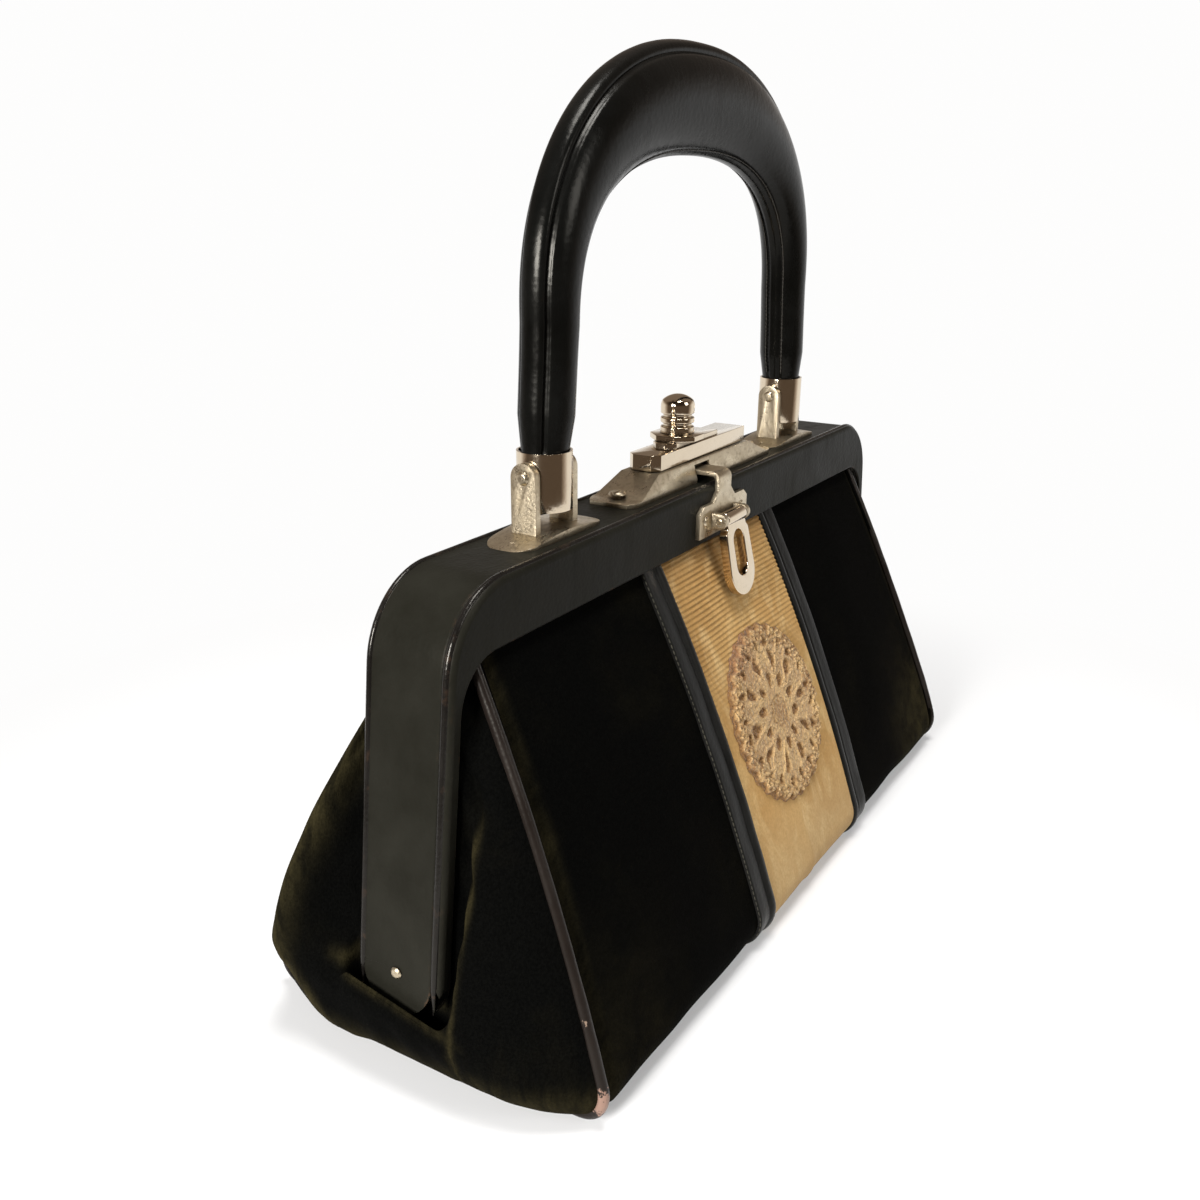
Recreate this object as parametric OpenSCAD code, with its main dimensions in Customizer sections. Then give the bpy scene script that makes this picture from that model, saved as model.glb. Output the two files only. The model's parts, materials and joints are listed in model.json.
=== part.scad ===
// Framed handbag: a wide inverted-U frame with a hinged front frame, a slide lock on top,
// a drop pull on the front, velvet walls with a ribbed stripe, and a stiff loop handle.
// Millimetres. X is the width, Y runs from the front (negative) to the back, Z is up.
// The origin is on the floor, at the middle of the base.

/* [Frame] */
// Height of the top of the wide frame above the floor
frame_top = 126.2; // [105:0.2:152]
// Half width over the legs, at the height of the hinge rivets
hinge_half_w = 139.8; // [125:0.2:168]
// Height of the hinge rivets above the floor
hinge_z = 31; // [28:0.5:36]
// Outward lean of the legs in degrees
leg_lean = 7; // [4:0.5:10]
// Depth of the wide frame from front to back
frame_depth = 21.4; // [18:0.2:26]
// Outer radius of the frame's upper corners
frame_corner_r = 22; // [16:0.5:30]
// Height of the flanges along the top
flange_h = 16.7; // [13:0.1:20]
// Inner radius of the flanges' corners
flange_corner_r = 14; // [10:0.5:18]
// Thickness of the steel
steel_t = 1.2; // [0.8:0.1:1.6]
// Thickness of the leather over the steel
leather_t = 0.9; // [0.6:0.1:1.2]
// Parting gap between the wide frame and the front frame
parting_gap = 0.6; // [0.4:0.1:1]
// Play between a leg and the front frame's ear inside it
ear_gap = 0.8; // [0.7:0.1:1]
// Radius of the ear's round end
ear_r = 8; // [7:0.5:9]
// Radius of a hinge rivet
rivet_r = 1.2; // [1:0.1:1.6]

/* [Body] */
// Half depth of the body where its lower corners start
base_half_d = 53.5; // [45:0.5:60]
// Radius of the lower front and rear corners
base_corner_r = 9; // [6:0.5:12]
// Radius of the gentle bow of the front and rear walls
wall_bow_r = 650; // [500:10:1200]
// Distance from the outer line of the legs in to the body's side, at the floor
side_in_foot = 16.6; // [13:0.1:24]
// The same distance at the top of the walls
side_in_top = 12.8; // [12:0.1:20]
// How far the walls reach up behind the flanges
tuck_h = 2.5; // [1:0.1:4]
// Thickness of the velvet walls
velvet_t = 1.6; // [1:0.1:2]
// Thickness of the lining
lining_t = 1; // [0.6:0.1:1.4]
// Thickness of the stiffening board in the base
board_t = 2; // [1:0.2:3]
// Half width of the ribbed centre stripe
stripe_half_w = 32.9; // [25:0.5:40]
// Width of each leather strip beside the stripe
strip_w = 11; // [7:0.5:14]
// Radius of the round applique
medallion_r = 29; // [18:0.5:30]
// Height of the middle of the applique
medallion_z = 56; // [50:1:64]
// Thickness of the applique
medallion_t = 0.8; // [0.4:0.1:1.2]
// Radius of the piping along the side seams
piping_r = 1.4; // [1:0.1:1.8]

/* [Lock] */
// Length of the lock's foot
lock_foot_l = 95; // [85:1:105]
// Length of the lock housing's flat top
lock_top_l = 60; // [54:1:66]
// Middle of the lock along the frame
lock_x = 5; // [0:0.5:8]
// Half width of the lock's foot
lock_half_w = 7.8; // [7:0.1:8.6]
// Half width of the lock housing's flat top
lock_top_half_w = 6.2; // [5.8:0.1:6.6]
// Height of the lock housing
lock_h = 6.4; // [6.2:0.1:7]
// Height of the lock's foot
lock_foot_h = 1.2; // [0.8:0.1:1.4]
// Length of the sliding block
slide_l = 58; // [50:1:60]
// Half width of the sliding block
slide_half_w = 5.2; // [4.6:0.1:5.8]
// Height of the sliding block
slide_h = 4.6; // [3.5:0.1:5.5]
// Length of the upper step on the block
step_l = 30; // [26:1:34]
// Height of the upper step
step_h = 1.4; // [1:0.1:2]
// Travel of the block from open to locked
slide_travel = 8; // [7:0.5:9]
// Place of the knob along the frame
knob_x = -2.7; // [-6:0.1:4]
// Radius of the knob
knob_r = 5.1; // [4:0.1:6]
// Height of the knob above its collar
knob_h = 11.6; // [10:0.2:14]
// Radius of the bolt's round nose
nose_r = 1; // [0.8:0.1:1.1]

/* [Hasp] */
// Place of the hasp along the frame
hasp_x = 1.5; // [-1:0.5:3]
// Thickness of the hasp's plate
hasp_t = 1.4; // [1:0.1:1.6]
// Half width of the hasp's plate
hasp_half_w = 16; // [13:0.5:19]
// Half width of the hook's neck
neck_half_w = 4.2; // [3.6:0.1:4.8]
// Length of the drop pull from its pin to its tip
drop_l = 24.5; // [23:0.5:28]
// Half width of the drop pull at its round end
drop_half_w = 8; // [7:0.5:9]
// Thickness of the drop pull
drop_t = 2.8; // [2.2:0.1:3]
// Outward lean of the drop pull at rest on the velvet
drop_lean = 12; // [11.5:0.5:18]
// Radius of the drop pull's pin
drop_pin_r = 1; // [0.8:0.1:1.2]

/* [Handle] */
// Distance from the middle of the frame to each handle mount
mount_x = 73.8; // [66:0.1:88.6]
// Height of the handle's pins above the frame
pin_lift = 16; // [15:0.1:18]
// Radius of a handle pin
pin_r = 1.3; // [1:0.1:1.6]
// Outer radius of a ferrule
ferrule_r = 7.2; // [6:0.1:8.7]
// Wall of a ferrule
ferrule_wall = 0.6; // [0.4:0.1:0.8]
// Height of a ferrule
ferrule_h = 14.9; // [13:0.1:16]
// How far a ferrule reaches below its pin
ferrule_below = 9.2; // [8:0.1:10]
// How far the arch's springing lies inside the handle's pins
arch_in = 2.8; // [1:0.1:8]
// Height of the arch's springing above the frame
arch_spring = 52.3; // [46:0.1:60]
// Rise of the arch above its springing
arch_rise = 53.4; // [44:0.1:62]
// Squareness of the arch, 2 being an ellipse
arch_power = 2.28; // [2:0.02:2.6]
// Half thickness of the grip at the crown, across the arch
grip_half_radial = 13.6; // [10:0.1:15]
// Half thickness of the grip at the crown, front to back
grip_half_depth = 8.2; // [7.5:0.1:11]
// Radius of the handle's steel core
core_r = 3; // [2:0.1:4]
// Length of a mount's plate
plate_l = 40; // [36:0.5:44]
// Width of a mount's plate
plate_w = 15; // [13:0.1:16]
// Thickness of a mount's plate at its middle
plate_t = 2.4; // [2:0.1:3]
// Thickness of a mount's posts
post_t = 2.2; // [1.6:0.1:2.6]
// Width of a mount's posts
post_w = 7.4; // [6:0.1:8]

/* [Fits] */
// Radial running clearance of every pin that turns
run = 0.05; // [0.03:0.01:0.08]
// Gap between pieces that pass each other
clear = 0.3; // [0.25:0.05:0.4]

/* [Hidden] */
$fn = 64;
fine = 720;
far = 400;
strap_half = frame_depth / 2;
front_back_y = -strap_half - parting_gap;
front_steel_y = front_back_y - steel_t;
front_face_y = front_steel_y - leather_t;
rear_steel_y = strap_half - steel_t;
rear_face_y = strap_half + leather_t;
strap_in = leather_t + steel_t;
ear_in = strap_in + ear_gap;
leg_in = ear_in + steel_t;
flange_edge_z = frame_top - flange_h;
wall_top = flange_edge_z + tuck_h;
body_half_w = leg_x(0, 0) - side_in_foot;
body_top_half_w = leg_x(wall_top, 0) - side_in_top;
side_lean = atan((body_half_w - body_top_half_w) / wall_top);
front_tuck_y = front_back_y + 1.9;
rear_tuck_y = rear_steel_y - 1.5;
strip_out = stripe_half_w + strip_w;
gusset_t = 2;
seam = 0.2;
lining_off = velvet_t + 0.12;
join_lap = 0.5;

// Centre of the bow of a wall that runs from its tuck to the lower corner, for side -1 or 1
function wall_mid(tuck_y) = [(tuck_y - base_half_d) / 2, (wall_top + base_corner_r) / 2];
function wall_run(tuck_y) = [tuck_y + base_half_d, wall_top - base_corner_r];
function wall_centre(tuck_y) =
    let (run_v = wall_run(tuck_y), half = norm(run_v) / 2)
    let (reach = sqrt(wall_bow_r * wall_bow_r - half * half))
    wall_mid(tuck_y) + reach * [run_v[1], -run_v[0]] / norm(run_v);
front_centre = wall_centre(front_tuck_y);
rear_centre = wall_centre(-rear_tuck_y);
// Centre of the lower corner's arc, tangent to the bow and to the floor
function corner_y(centre) =
    centre[0] - sqrt(pow(wall_bow_r - base_corner_r, 2) - pow(base_corner_r - centre[1], 2));
front_corner_y = corner_y(front_centre);
rear_corner_y = corner_y(rear_centre);
front_join_z = base_corner_r * (1 + (base_corner_r - front_centre[1]) / (wall_bow_r - base_corner_r));
// Depth of the front wall's outer face at a height
function front_wall_y(z) =
    front_centre[0] - sqrt(pow(wall_bow_r, 2) - pow(z - front_centre[1], 2));
function rear_wall_y(z) =
    -rear_centre[0] + sqrt(pow(wall_bow_r, 2) - pow(z - rear_centre[1], 2));
function side_x(z) = body_half_w - z * tan(side_lean);
function leg_x(z, inset) = hinge_half_w - (z - hinge_z) * tan(leg_lean) - inset / cos(leg_lean);

lock_top = frame_top + lock_h;
roof_t = 1.1;
eye_r = 1.8;
eye_bore = 1.3;
eye_y = -3;
eye_z = lock_top - roof_t - clear - eye_r;
slide_z = lock_top + clear;
step_z = slide_z + slide_h;
collar_z = step_z + step_h;
collar_h = 1.8;
collar_r = 8.2;
knob_z = collar_z + collar_h;
hasp_y = front_face_y - hasp_t;
drop_y = hasp_y - 2.6;
drop_z = flange_edge_z + 6.7;
knuckle_r = 2.3;
knuckle_half = 6.1;
pin_z = frame_top + pin_lift;
ferrule_z = pin_z - ferrule_below;
post_x = ferrule_r + clear;
grip_start = ferrule_z + ferrule_h - 3.4;
spring_z = frame_top + arch_spring;
arch_half_w = mount_x - arch_in;
lock_screw_x = [lock_x - lock_foot_l / 2 + 5, lock_x + lock_foot_l / 2 - 5];
lock_screw_r = 1.2;
stud_x = plate_l / 2 - 6;
stud_r = 1.3;
stud_l = 4.6;
backing_t = 1;

// Extrudes an outline drawn in X and Z from y0 to y1
module slab_y(y0, y1) translate([0, y1, 0]) rotate([90, 0, 0]) linear_extrude(y1 - y0) children();
// Extrudes an outline drawn in Y and Z from x0 to x1
module slab_x(x0, x1) translate([x0, 0, 0]) rotate([90, 0, 90]) linear_extrude(x1 - x0) children();
// Cylinder along X
module rod_x(r, x0, x1) translate([x0, 0, 0]) rotate([0, 90, 0]) cylinder(r = r, h = x1 - x0);

// Rounded inverted U that fills everything inside the given insets
module arch2d(top_in, side_in, r) {
    zc = frame_top - top_in - r;
    xc = leg_x(zc, side_in + r);
    zt = zc + r * sin(leg_lean);
    xt = xc + r * cos(leg_lean);
    x_low = leg_x(0, side_in);
    polygon([[-x_low, 0], [-xt, zt], [-xc, zc + r], [xc, zc + r], [xt, zt], [x_low, 0]]);
    for (s = [-1, 1]) translate([s * xc, zc]) circle(r, $fn = 128);
}
module arch_layer2d(from_in, to_in) {
    difference() {
        arch2d(from_in, from_in, frame_corner_r - from_in);
        arch2d(to_in, to_in, frame_corner_r - to_in);
    }
}
module flange2d(from_in) {
    difference() {
        arch2d(from_in, from_in, frame_corner_r - from_in);
        arch2d(flange_h, leg_in, flange_corner_r);
    }
}
// Side outline that rounds the lower ends of the legs about the hinge
module leg_end2d(y0, y1, r) {
    translate([y0, hinge_z]) square([y1 - y0, far]);
    translate([0, hinge_z]) circle(r);
}
module at_hinge() translate([0, 0, hinge_z]) children();
module lock_screw_holes() {
    for (x = lock_screw_x) translate([x, 0, frame_top - 20]) cylinder(r = lock_screw_r, h = 40);
}
module mount_stud_holes() {
    for (s = [-1, 1], t = [-1, 1])
        translate([s * mount_x + t * stud_x, 0, frame_top - 20]) cylinder(r = stud_r, h = 40);
}

module rear_frame() {
    color("dimgray") difference() {
        intersection() {
            union() {
                slab_y(-strap_half, strap_half) arch_layer2d(leather_t, strap_in);
                slab_y(rear_steel_y, strap_half) flange2d(leather_t);
            }
            slab_x(-far, far) leg_end2d(-strap_half, strap_half, strap_half);
        }
        at_hinge() rod_x(rivet_r, -far, far);
        lock_screw_holes();
        mount_stud_holes();
    }
}
module rear_frame_leather() {
    color([0.19, 0.17, 0.16]) difference() {
        intersection() {
            union() {
                slab_y(-strap_half, rear_face_y) arch_layer2d(0, leather_t);
                slab_y(strap_half, rear_face_y) flange2d(leather_t);
            }
            slab_x(-far, far) leg_end2d(-strap_half, rear_face_y, strap_half);
        }
        at_hinge() rod_x(rivet_r, -far, far);
        lock_screw_holes();
        mount_stud_holes();
    }
}
// Lever from the front frame's leg back to the hinge, inside the wide frame's leg
module ear2d() {
    translate([0, hinge_z]) circle(ear_r);
    polygon([
        [front_back_y, hinge_z - 5], [front_back_y, hinge_z + 4 * ear_r],
        [0, hinge_z + ear_r], [-ear_r / 2, hinge_z - ear_r * 0.85]
    ]);
}
module hasp_rivet_holes() {
    for (s = [-1, 1]) translate([hasp_x + s * hasp_rivet_x, 0, hasp_rivet_z])
        rotate([90, 0, 0]) cylinder(r = hasp_rivet_r, h = far);
}
hasp_rivet_x = hasp_half_w - 4;
hasp_rivet_z = drop_z + 0.6;
hasp_rivet_r = 1;
module front_frame() {
    color("dimgray") difference() {
        union() {
            intersection() {
                slab_y(front_steel_y, front_back_y) flange2d(leather_t);
                slab_x(-far, far) leg_end2d(front_face_y, 0, -front_face_y);
            }
            intersection() {
                slab_y(front_back_y, strap_half) arch_layer2d(ear_in, leg_in);
                slab_x(-far, far) ear2d();
            }
        }
        at_hinge() rod_x(rivet_r + run, -far, far);
        hasp_rivet_holes();
    }
}
module front_frame_leather() {
    color([0.19, 0.17, 0.16]) difference() {
        intersection() {
            union() {
                slab_y(front_face_y, front_steel_y) flange2d(0);
                slab_y(front_steel_y, front_back_y) arch_layer2d(0, leather_t);
            }
            slab_x(-far, far) leg_end2d(front_face_y, 0, -front_face_y);
        }
        hasp_rivet_holes();
    }
}
module hinge_rivet() {
    x_in = leg_x(hinge_z, leg_in) - clear;
    color("silver") at_hinge() {
        rod_x(rivet_r, x_in, hinge_half_w + 0.5);
        rod_x(rivet_r * 2, x_in - 1, x_in);
        translate([hinge_half_w + 0.2, 0, 0]) rotate([0, 90, 0]) cylinder(r1 = 1.7, r2 = 1.1, h = 0.6);
    }
}
module hinge_rivet_left() mirror([1, 0, 0]) hinge_rivet();
module hinge_rivet_right() hinge_rivet();
module hinge_washers() {
    color("silver") difference() {
        intersection() {
            slab_y(-strap_half, strap_half) arch_layer2d(strap_in, strap_in + clear);
            at_hinge() rod_x(3.4, -far, far);
        }
        at_hinge() rod_x(rivet_r, -far, far);
    }
}

// Side section of the body, drawn in Y and Z, a given way inside its outer face, with its bows
// run past the lower corners' joins by a lap
module section2d(off, lap = 0) {
    intersection() {
        translate(front_centre) circle(wall_bow_r - off, $fn = fine);
        mirror([1, 0]) translate(rear_centre) circle(wall_bow_r - off, $fn = fine);
        translate([-far / 2, front_join_z - lap]) square([far, wall_top - front_join_z + lap]);
    }
    translate([front_corner_y, off]) square([-rear_corner_y - front_corner_y, front_join_z - off]);
    translate([front_corner_y, base_corner_r]) circle(base_corner_r - off);
    translate([-rear_corner_y, base_corner_r]) circle(base_corner_r - off);
}
module wall2d(from_off, to_off) {
    difference() {
        section2d(from_off);
        section2d(to_off);
    }
}
module front_zone2d() {
    polygon([
        [-far, -1], [front_corner_y, -1], [front_corner_y, front_join_z],
        [-1, front_join_z], [-1, far], [-far, far]
    ]);
}
module rear_zone2d() {
    polygon([
        [far, -1], [-rear_corner_y, -1], [-rear_corner_y, front_join_z],
        [-1, front_join_z], [-1, far], [far, far]
    ]);
}
module front_wall(x0, x1, from_off = 0, to_off = velvet_t) {
    slab_x(x0, x1) intersection() {
        wall2d(from_off, to_off);
        front_zone2d();
    }
}
module rear_wall(x0, x1, from_off = 0, to_off = velvet_t) {
    slab_x(x0, x1) intersection() {
        wall2d(from_off, to_off);
        rear_zone2d();
    }
}
// Everything between the leaning side seams, drawn in by an inset
module between_seams(inset) {
    slab_y(-far, far) polygon([
        [-side_x(-1) + inset, -1], [side_x(-1) - inset, -1],
        [side_x(wall_top) - inset, wall_top + 1], [-side_x(wall_top) + inset, wall_top + 1]
    ]);
}
module front_velvet_right() {
    color([0.12, 0.1, 0.07]) intersection() {
        front_wall(strip_out, far);
        between_seams(0);
    }
}
module front_velvet_left() mirror([1, 0, 0]) front_velvet_right();
module rear_velvet_right() {
    color([0.12, 0.1, 0.07]) intersection() {
        rear_wall(strip_out, far);
        between_seams(0);
    }
}
module rear_velvet_left() mirror([1, 0, 0]) rear_velvet_right();
module front_stripe() color([0.7, 0.57, 0.35]) front_wall(-stripe_half_w, stripe_half_w);
module rear_stripe() color([0.7, 0.57, 0.35]) rear_wall(-stripe_half_w, stripe_half_w);
module front_strip_right() color([0.1, 0.1, 0.1]) front_wall(stripe_half_w, strip_out);
module front_strip_left() mirror([1, 0, 0]) front_strip_right();
module rear_strip_right() color([0.1, 0.1, 0.1]) rear_wall(stripe_half_w, strip_out);
module rear_strip_left() mirror([1, 0, 0]) rear_strip_right();
module medallion() {
    tilt = asin((medallion_z - front_centre[1]) / wall_bow_r);
    color([0.65, 0.5, 0.36]) intersection() {
        slab_x(-far, far) intersection() {
            wall2d(-medallion_t, 0);
            front_zone2d();
        }
        translate([0, front_wall_y(medallion_z), medallion_z]) rotate([90 - tilt, 0, 0])
            translate([0, 0, -10]) cylinder(r = medallion_r, h = 20);
    }
}
module bottom_velvet() {
    color([0.12, 0.1, 0.07]) intersection() {
        slab_y(front_corner_y, -rear_corner_y) translate([-far, 0]) square([2 * far, velvet_t]);
        between_seams(0);
    }
}
module bottom_board() {
    color("tan") intersection() {
        slab_y(front_corner_y, -rear_corner_y)
            translate([-far, lining_off]) square([2 * far, board_t]);
        between_seams(gusset_t + lining_t + 1);
    }
}
module lining_bottom() {
    color([0.45, 0.36, 0.26]) intersection() {
        slab_y(front_corner_y, -rear_corner_y)
            translate([-far, lining_off + board_t]) square([2 * far, lining_t]);
        between_seams(gusset_t + lining_t + 1);
    }
}
// Side sheet that leans with the seams, from depth d0 to d1 inside them
module side_sheet(off, d0, d1) {
    translate([body_half_w, 0, 0]) rotate([0, -side_lean, 0]) slab_x(-d1, -d0) section2d(off, join_lap);
}
// The side wall, with the soft pouch of velvet that lies below the end of the leg
module gusset_right() {
    color([0.12, 0.1, 0.07]) {
        side_sheet(velvet_t + seam, seam, gusset_t + seam);
        intersection() {
            slab_y(-34, 34) polygon([
                [side_x(2) - 1, 2], [side_x(2) + 6, 2.5], [side_x(2) + 10, 7],
                [side_x(2) + 10, 12], [side_x(2) + 7, 16], [side_x(21) - 1, 21]
            ]);
            slab_x(0, far) translate([-34, -32]) square([68, 64]);
        }
    }
}
module gusset_left() mirror([1, 0, 0]) gusset_right();
module lining_front() {
    color([0.45, 0.36, 0.26]) intersection() {
        front_wall(-far, far, lining_off, lining_off + lining_t);
        between_seams(gusset_t + 2 * seam);
    }
}
module lining_rear() {
    color([0.45, 0.36, 0.26]) intersection() {
        rear_wall(-far, far, lining_off, lining_off + lining_t);
        between_seams(gusset_t + 2 * seam);
    }
}
module lining_right() {
    color([0.45, 0.36, 0.26])
        side_sheet(lining_off + lining_t + seam, gusset_t + seam, gusset_t + seam + lining_t);
}
module lining_left() mirror([1, 0, 0]) lining_right();

// Round bar swept through rings that lie at the given places, each ring turned to its own frame
function ring(c, out, up, a, b, sides) =
    [for (i = [0:sides - 1]) c + out * a * cos(360 * i / sides) + up * b * sin(360 * i / sides)];
module skin(rings) {
    n = len(rings);
    k = len(rings[0]);
    points = [for (r = rings) for (p = r) p];
    sides = [for (i = [0:n - 2]) for (j = [0:k - 1])
        [i * k + j, i * k + (j + 1) % k, (i + 1) * k + (j + 1) % k, (i + 1) * k + j]];
    ends = [[for (j = [k - 1:-1:0]) j], [for (j = [0:k - 1]) (n - 1) * k + j]];
    polyhedron(points = points, faces = concat(sides, ends), convexity = 6);
}

// Piping down the front right seam and under the lower corner
piping_sides = 8;
piping_top = flange_edge_z - 5.5;
piping_steps = 10;
function seam_point(z, off) =
    let (y = front_wall_y(z), n = [y, z] - front_centre)
    [y, z] - n / norm(n) * off;
function corner_point(a, off) =
    [front_corner_y - (base_corner_r - off) * cos(a), base_corner_r - (base_corner_r - off) * sin(a)];
piping_path = concat(
    [for (i = [0:piping_steps]) seam_point(piping_top + (front_join_z - piping_top) * i / piping_steps,
        piping_r)],
    [for (a = [20:35:90]) corner_point(a, piping_r)]
);
module piping(path) {
    n = len(path);
    skin([for (i = [0:n - 1])
        let (t = path[min(i + 1, n - 1)] - path[max(i - 1, 0)], u = t / norm(t))
        ring([side_x(path[i][1]) + piping_r + seam, path[i][0], path[i][1]],
            [0, -u[1], u[0]], [1, 0, 0], piping_r, piping_r, piping_sides)]);
}
module piping_front_right() color([0.16, 0.13, 0.08]) piping(piping_path);
module piping_front_left() mirror([1, 0, 0]) piping_front_right();
module piping_rear_right() {
    rear_path = [for (p = piping_path) [p[0] + rear_shift(p[1]), p[1]]];
    color([0.16, 0.13, 0.08]) mirror([0, 1, 0]) piping(rear_path);
}
// Difference between the mirrored front seam and the rear seam at a height
function rear_shift(z) =
    z > front_join_z ? -rear_wall_y(z) - front_wall_y(z) : rear_corner_y - front_corner_y;
module piping_rear_left() mirror([1, 0, 0]) piping_rear_right();

// Lock housing outline: bevelled on all four sides, hollow below, open for the hook and the neck
neck_x = lock_x + 16;
neck_l = 8;
neck_half = 2.2;
bolt_x = hasp_x + neck_half_w + slide_travel + 1.4;
bolt_l = neck_x + neck_l / 2 + 3 - bolt_x;
module lock_base() {
    half = lock_foot_l / 2;
    top_half = lock_top_l / 2;
    color([0.66, 0.62, 0.54]) difference() {
        intersection() {
            slab_y(-far, far) polygon([
                [lock_x - half, frame_top], [lock_x - half, frame_top + lock_foot_h],
                [lock_x - half + 6, frame_top + lock_foot_h + 0.3], [lock_x - top_half, lock_top],
                [lock_x + top_half, lock_top], [lock_x + half - 6, frame_top + lock_foot_h + 0.3],
                [lock_x + half, frame_top + lock_foot_h], [lock_x + half, frame_top]
            ]);
            slab_x(-far, far) polygon([
                [-lock_half_w, frame_top], [-lock_half_w, frame_top + lock_foot_h],
                [-lock_top_half_w, lock_top], [lock_top_half_w, lock_top],
                [lock_half_w, frame_top + lock_foot_h], [lock_half_w, frame_top]
            ]);
            translate([0, 0, frame_top - 1]) linear_extrude(20) {
                translate([lock_x - half + 5, -far / 2]) square([lock_foot_l - 10, far]);
                for (x = lock_screw_x) translate([x, 0]) circle(lock_half_w);
            }
        }
        translate([lock_x - 23, -5, frame_top - 1]) cube([48, 10, lock_h - roof_t + 1]);
        translate([neck_x - neck_l / 2 - slide_travel - clear, -neck_half - clear, frame_top])
            cube([neck_l + slide_travel + 2 * clear, 2 * (neck_half + clear), 20]);
        translate([hasp_x - neck_half_w - 2 * clear, -20, frame_top - 1])
            cube([2 * neck_half_w + 4 * clear, 20, lock_h - roof_t + 1]);
        lock_screw_holes();
    }
}
module lock_screws() {
    head_z = frame_top + lock_foot_h + 1.4;
    color("silver") for (x = lock_screw_x) translate([x, 0, 0]) difference() {
        union() {
            translate([0, 0, frame_top - 7]) cylinder(r = lock_screw_r, h = head_z - frame_top + 7);
            translate([0, 0, head_z]) cylinder(r1 = 2.6, r2 = 2, h = 0.8);
        }
        translate([-3, -0.3, head_z + 0.4]) cube([6, 0.6, 1]);
    }
}
module lock_backing_plate() {
    z_top = frame_top - strap_in;
    color("silver") difference() {
        translate([lock_x - lock_foot_l / 2 + 1, -6, z_top - backing_t])
            cube([lock_foot_l - 2, 12, backing_t]);
        lock_screw_holes();
    }
}
module hex_nut(x, z_top, bore) {
    translate([x, 0, z_top - 1.8]) difference() {
        cylinder(r = 2.8, h = 1.8, $fn = 6);
        translate([0, 0, -1]) cylinder(r = bore, h = 4);
    }
}
module lock_nuts() {
    color("silver") for (x = lock_screw_x) hex_nut(x, frame_top - strap_in - backing_t, lock_screw_r);
}
module lock_slide() {
    half = slide_l / 2;
    cut = 2.2;
    color([0.72, 0.69, 0.63]) difference() {
        union() {
            translate([lock_x, 0, slide_z]) linear_extrude(slide_h) polygon([
                [-half, -slide_half_w + cut], [-half + cut, -slide_half_w],
                [half, -slide_half_w], [half, slide_half_w],
                [-half + cut, slide_half_w], [-half, slide_half_w - cut]
            ]);
            translate([knob_x + 4.5, 0, step_z]) linear_extrude(step_h) polygon([
                [-step_l / 2, -1.5], [-step_l / 2 + 3, -4], [step_l / 2, -4],
                [step_l / 2, 4], [-step_l / 2 + 3, 4], [-step_l / 2, 1.5]
            ]);
        }
        translate([neck_x, 0, slide_z - 1]) cylinder(r = 1, h = 4);
        translate([knob_x, 0, slide_z - 1]) cylinder(r = 1.5, h = 20);
    }
}
module knob_collar() {
    color([0.72, 0.69, 0.63]) translate([knob_x, 0, collar_z]) difference() {
        rotate(22.5) cylinder(r = collar_r, h = collar_h, $fn = 8);
        translate([0, 0, -1]) cylinder(r = 1.5, h = 4);
    }
}
// Turned knob with two grooves, a domed head and a stud down through the collar and the block
module knob() {
    r = knob_r;
    h = knob_h;
    groove = 0.8;
    color([0.75, 0.72, 0.66]) translate([knob_x, 0, knob_z]) rotate_extrude($fn = 96) {
        polygon([
            [0, slide_z + 0.4 - knob_z], [1.5, slide_z + 0.4 - knob_z], [1.5, 0], [r, 0], [r, 2],
            [r - groove, 2.3], [r - groove, 3], [r, 3.3], [r, 4.7], [r - groove, 5],
            [r - groove, 5.7], [r, 6], [r, h - 3.6], [0, h - 3.6]
        ]);
        intersection() {
            translate([0, h - 3.6]) square([r, 3.6]);
            translate([0, h - 7.0]) circle(7.0);
            translate([r - 3.6, h - 3.6]) union() {
                circle(3.6);
                translate([-r, 0]) square([r, 3.6]);
            }
        }
    }
}
module lock_bolt() {
    color("silver") {
        difference() {
            union() {
                translate([bolt_x, -4.4, eye_z - 1.6]) cube([bolt_l, 7.6, 3.2]);
                translate([neck_x - neck_l / 2, -neck_half, eye_z])
                    cube([neck_l, 2 * neck_half, slide_z - eye_z]);
                translate([0, eye_y, eye_z])
                    rod_x(nose_r, bolt_x - slide_travel, bolt_x + 1);
            }
            translate([neck_x, 0, slide_z - 2]) cylinder(r = 0.9, h = 3);
        }
        translate([neck_x, 0, slide_z - 2]) cylinder(r = 0.9, h = 4.5);
    }
}
// Bent strip under the bolt that holds it at either end of its travel
module detent_spring() {
    x0 = lock_x - 2;
    color("silver") slab_y(-3.4, 2.4) polygon([
        [x0 + 4, frame_top], [x0 + 22, frame_top], [x0 + 22, frame_top + 0.3],
        [x0 + 14.6, frame_top + 0.3], [x0 + 13, frame_top + 1], [x0 + 11.4, frame_top + 0.3],
        [x0 + 4, frame_top + 0.3]
    ]);
}

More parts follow.
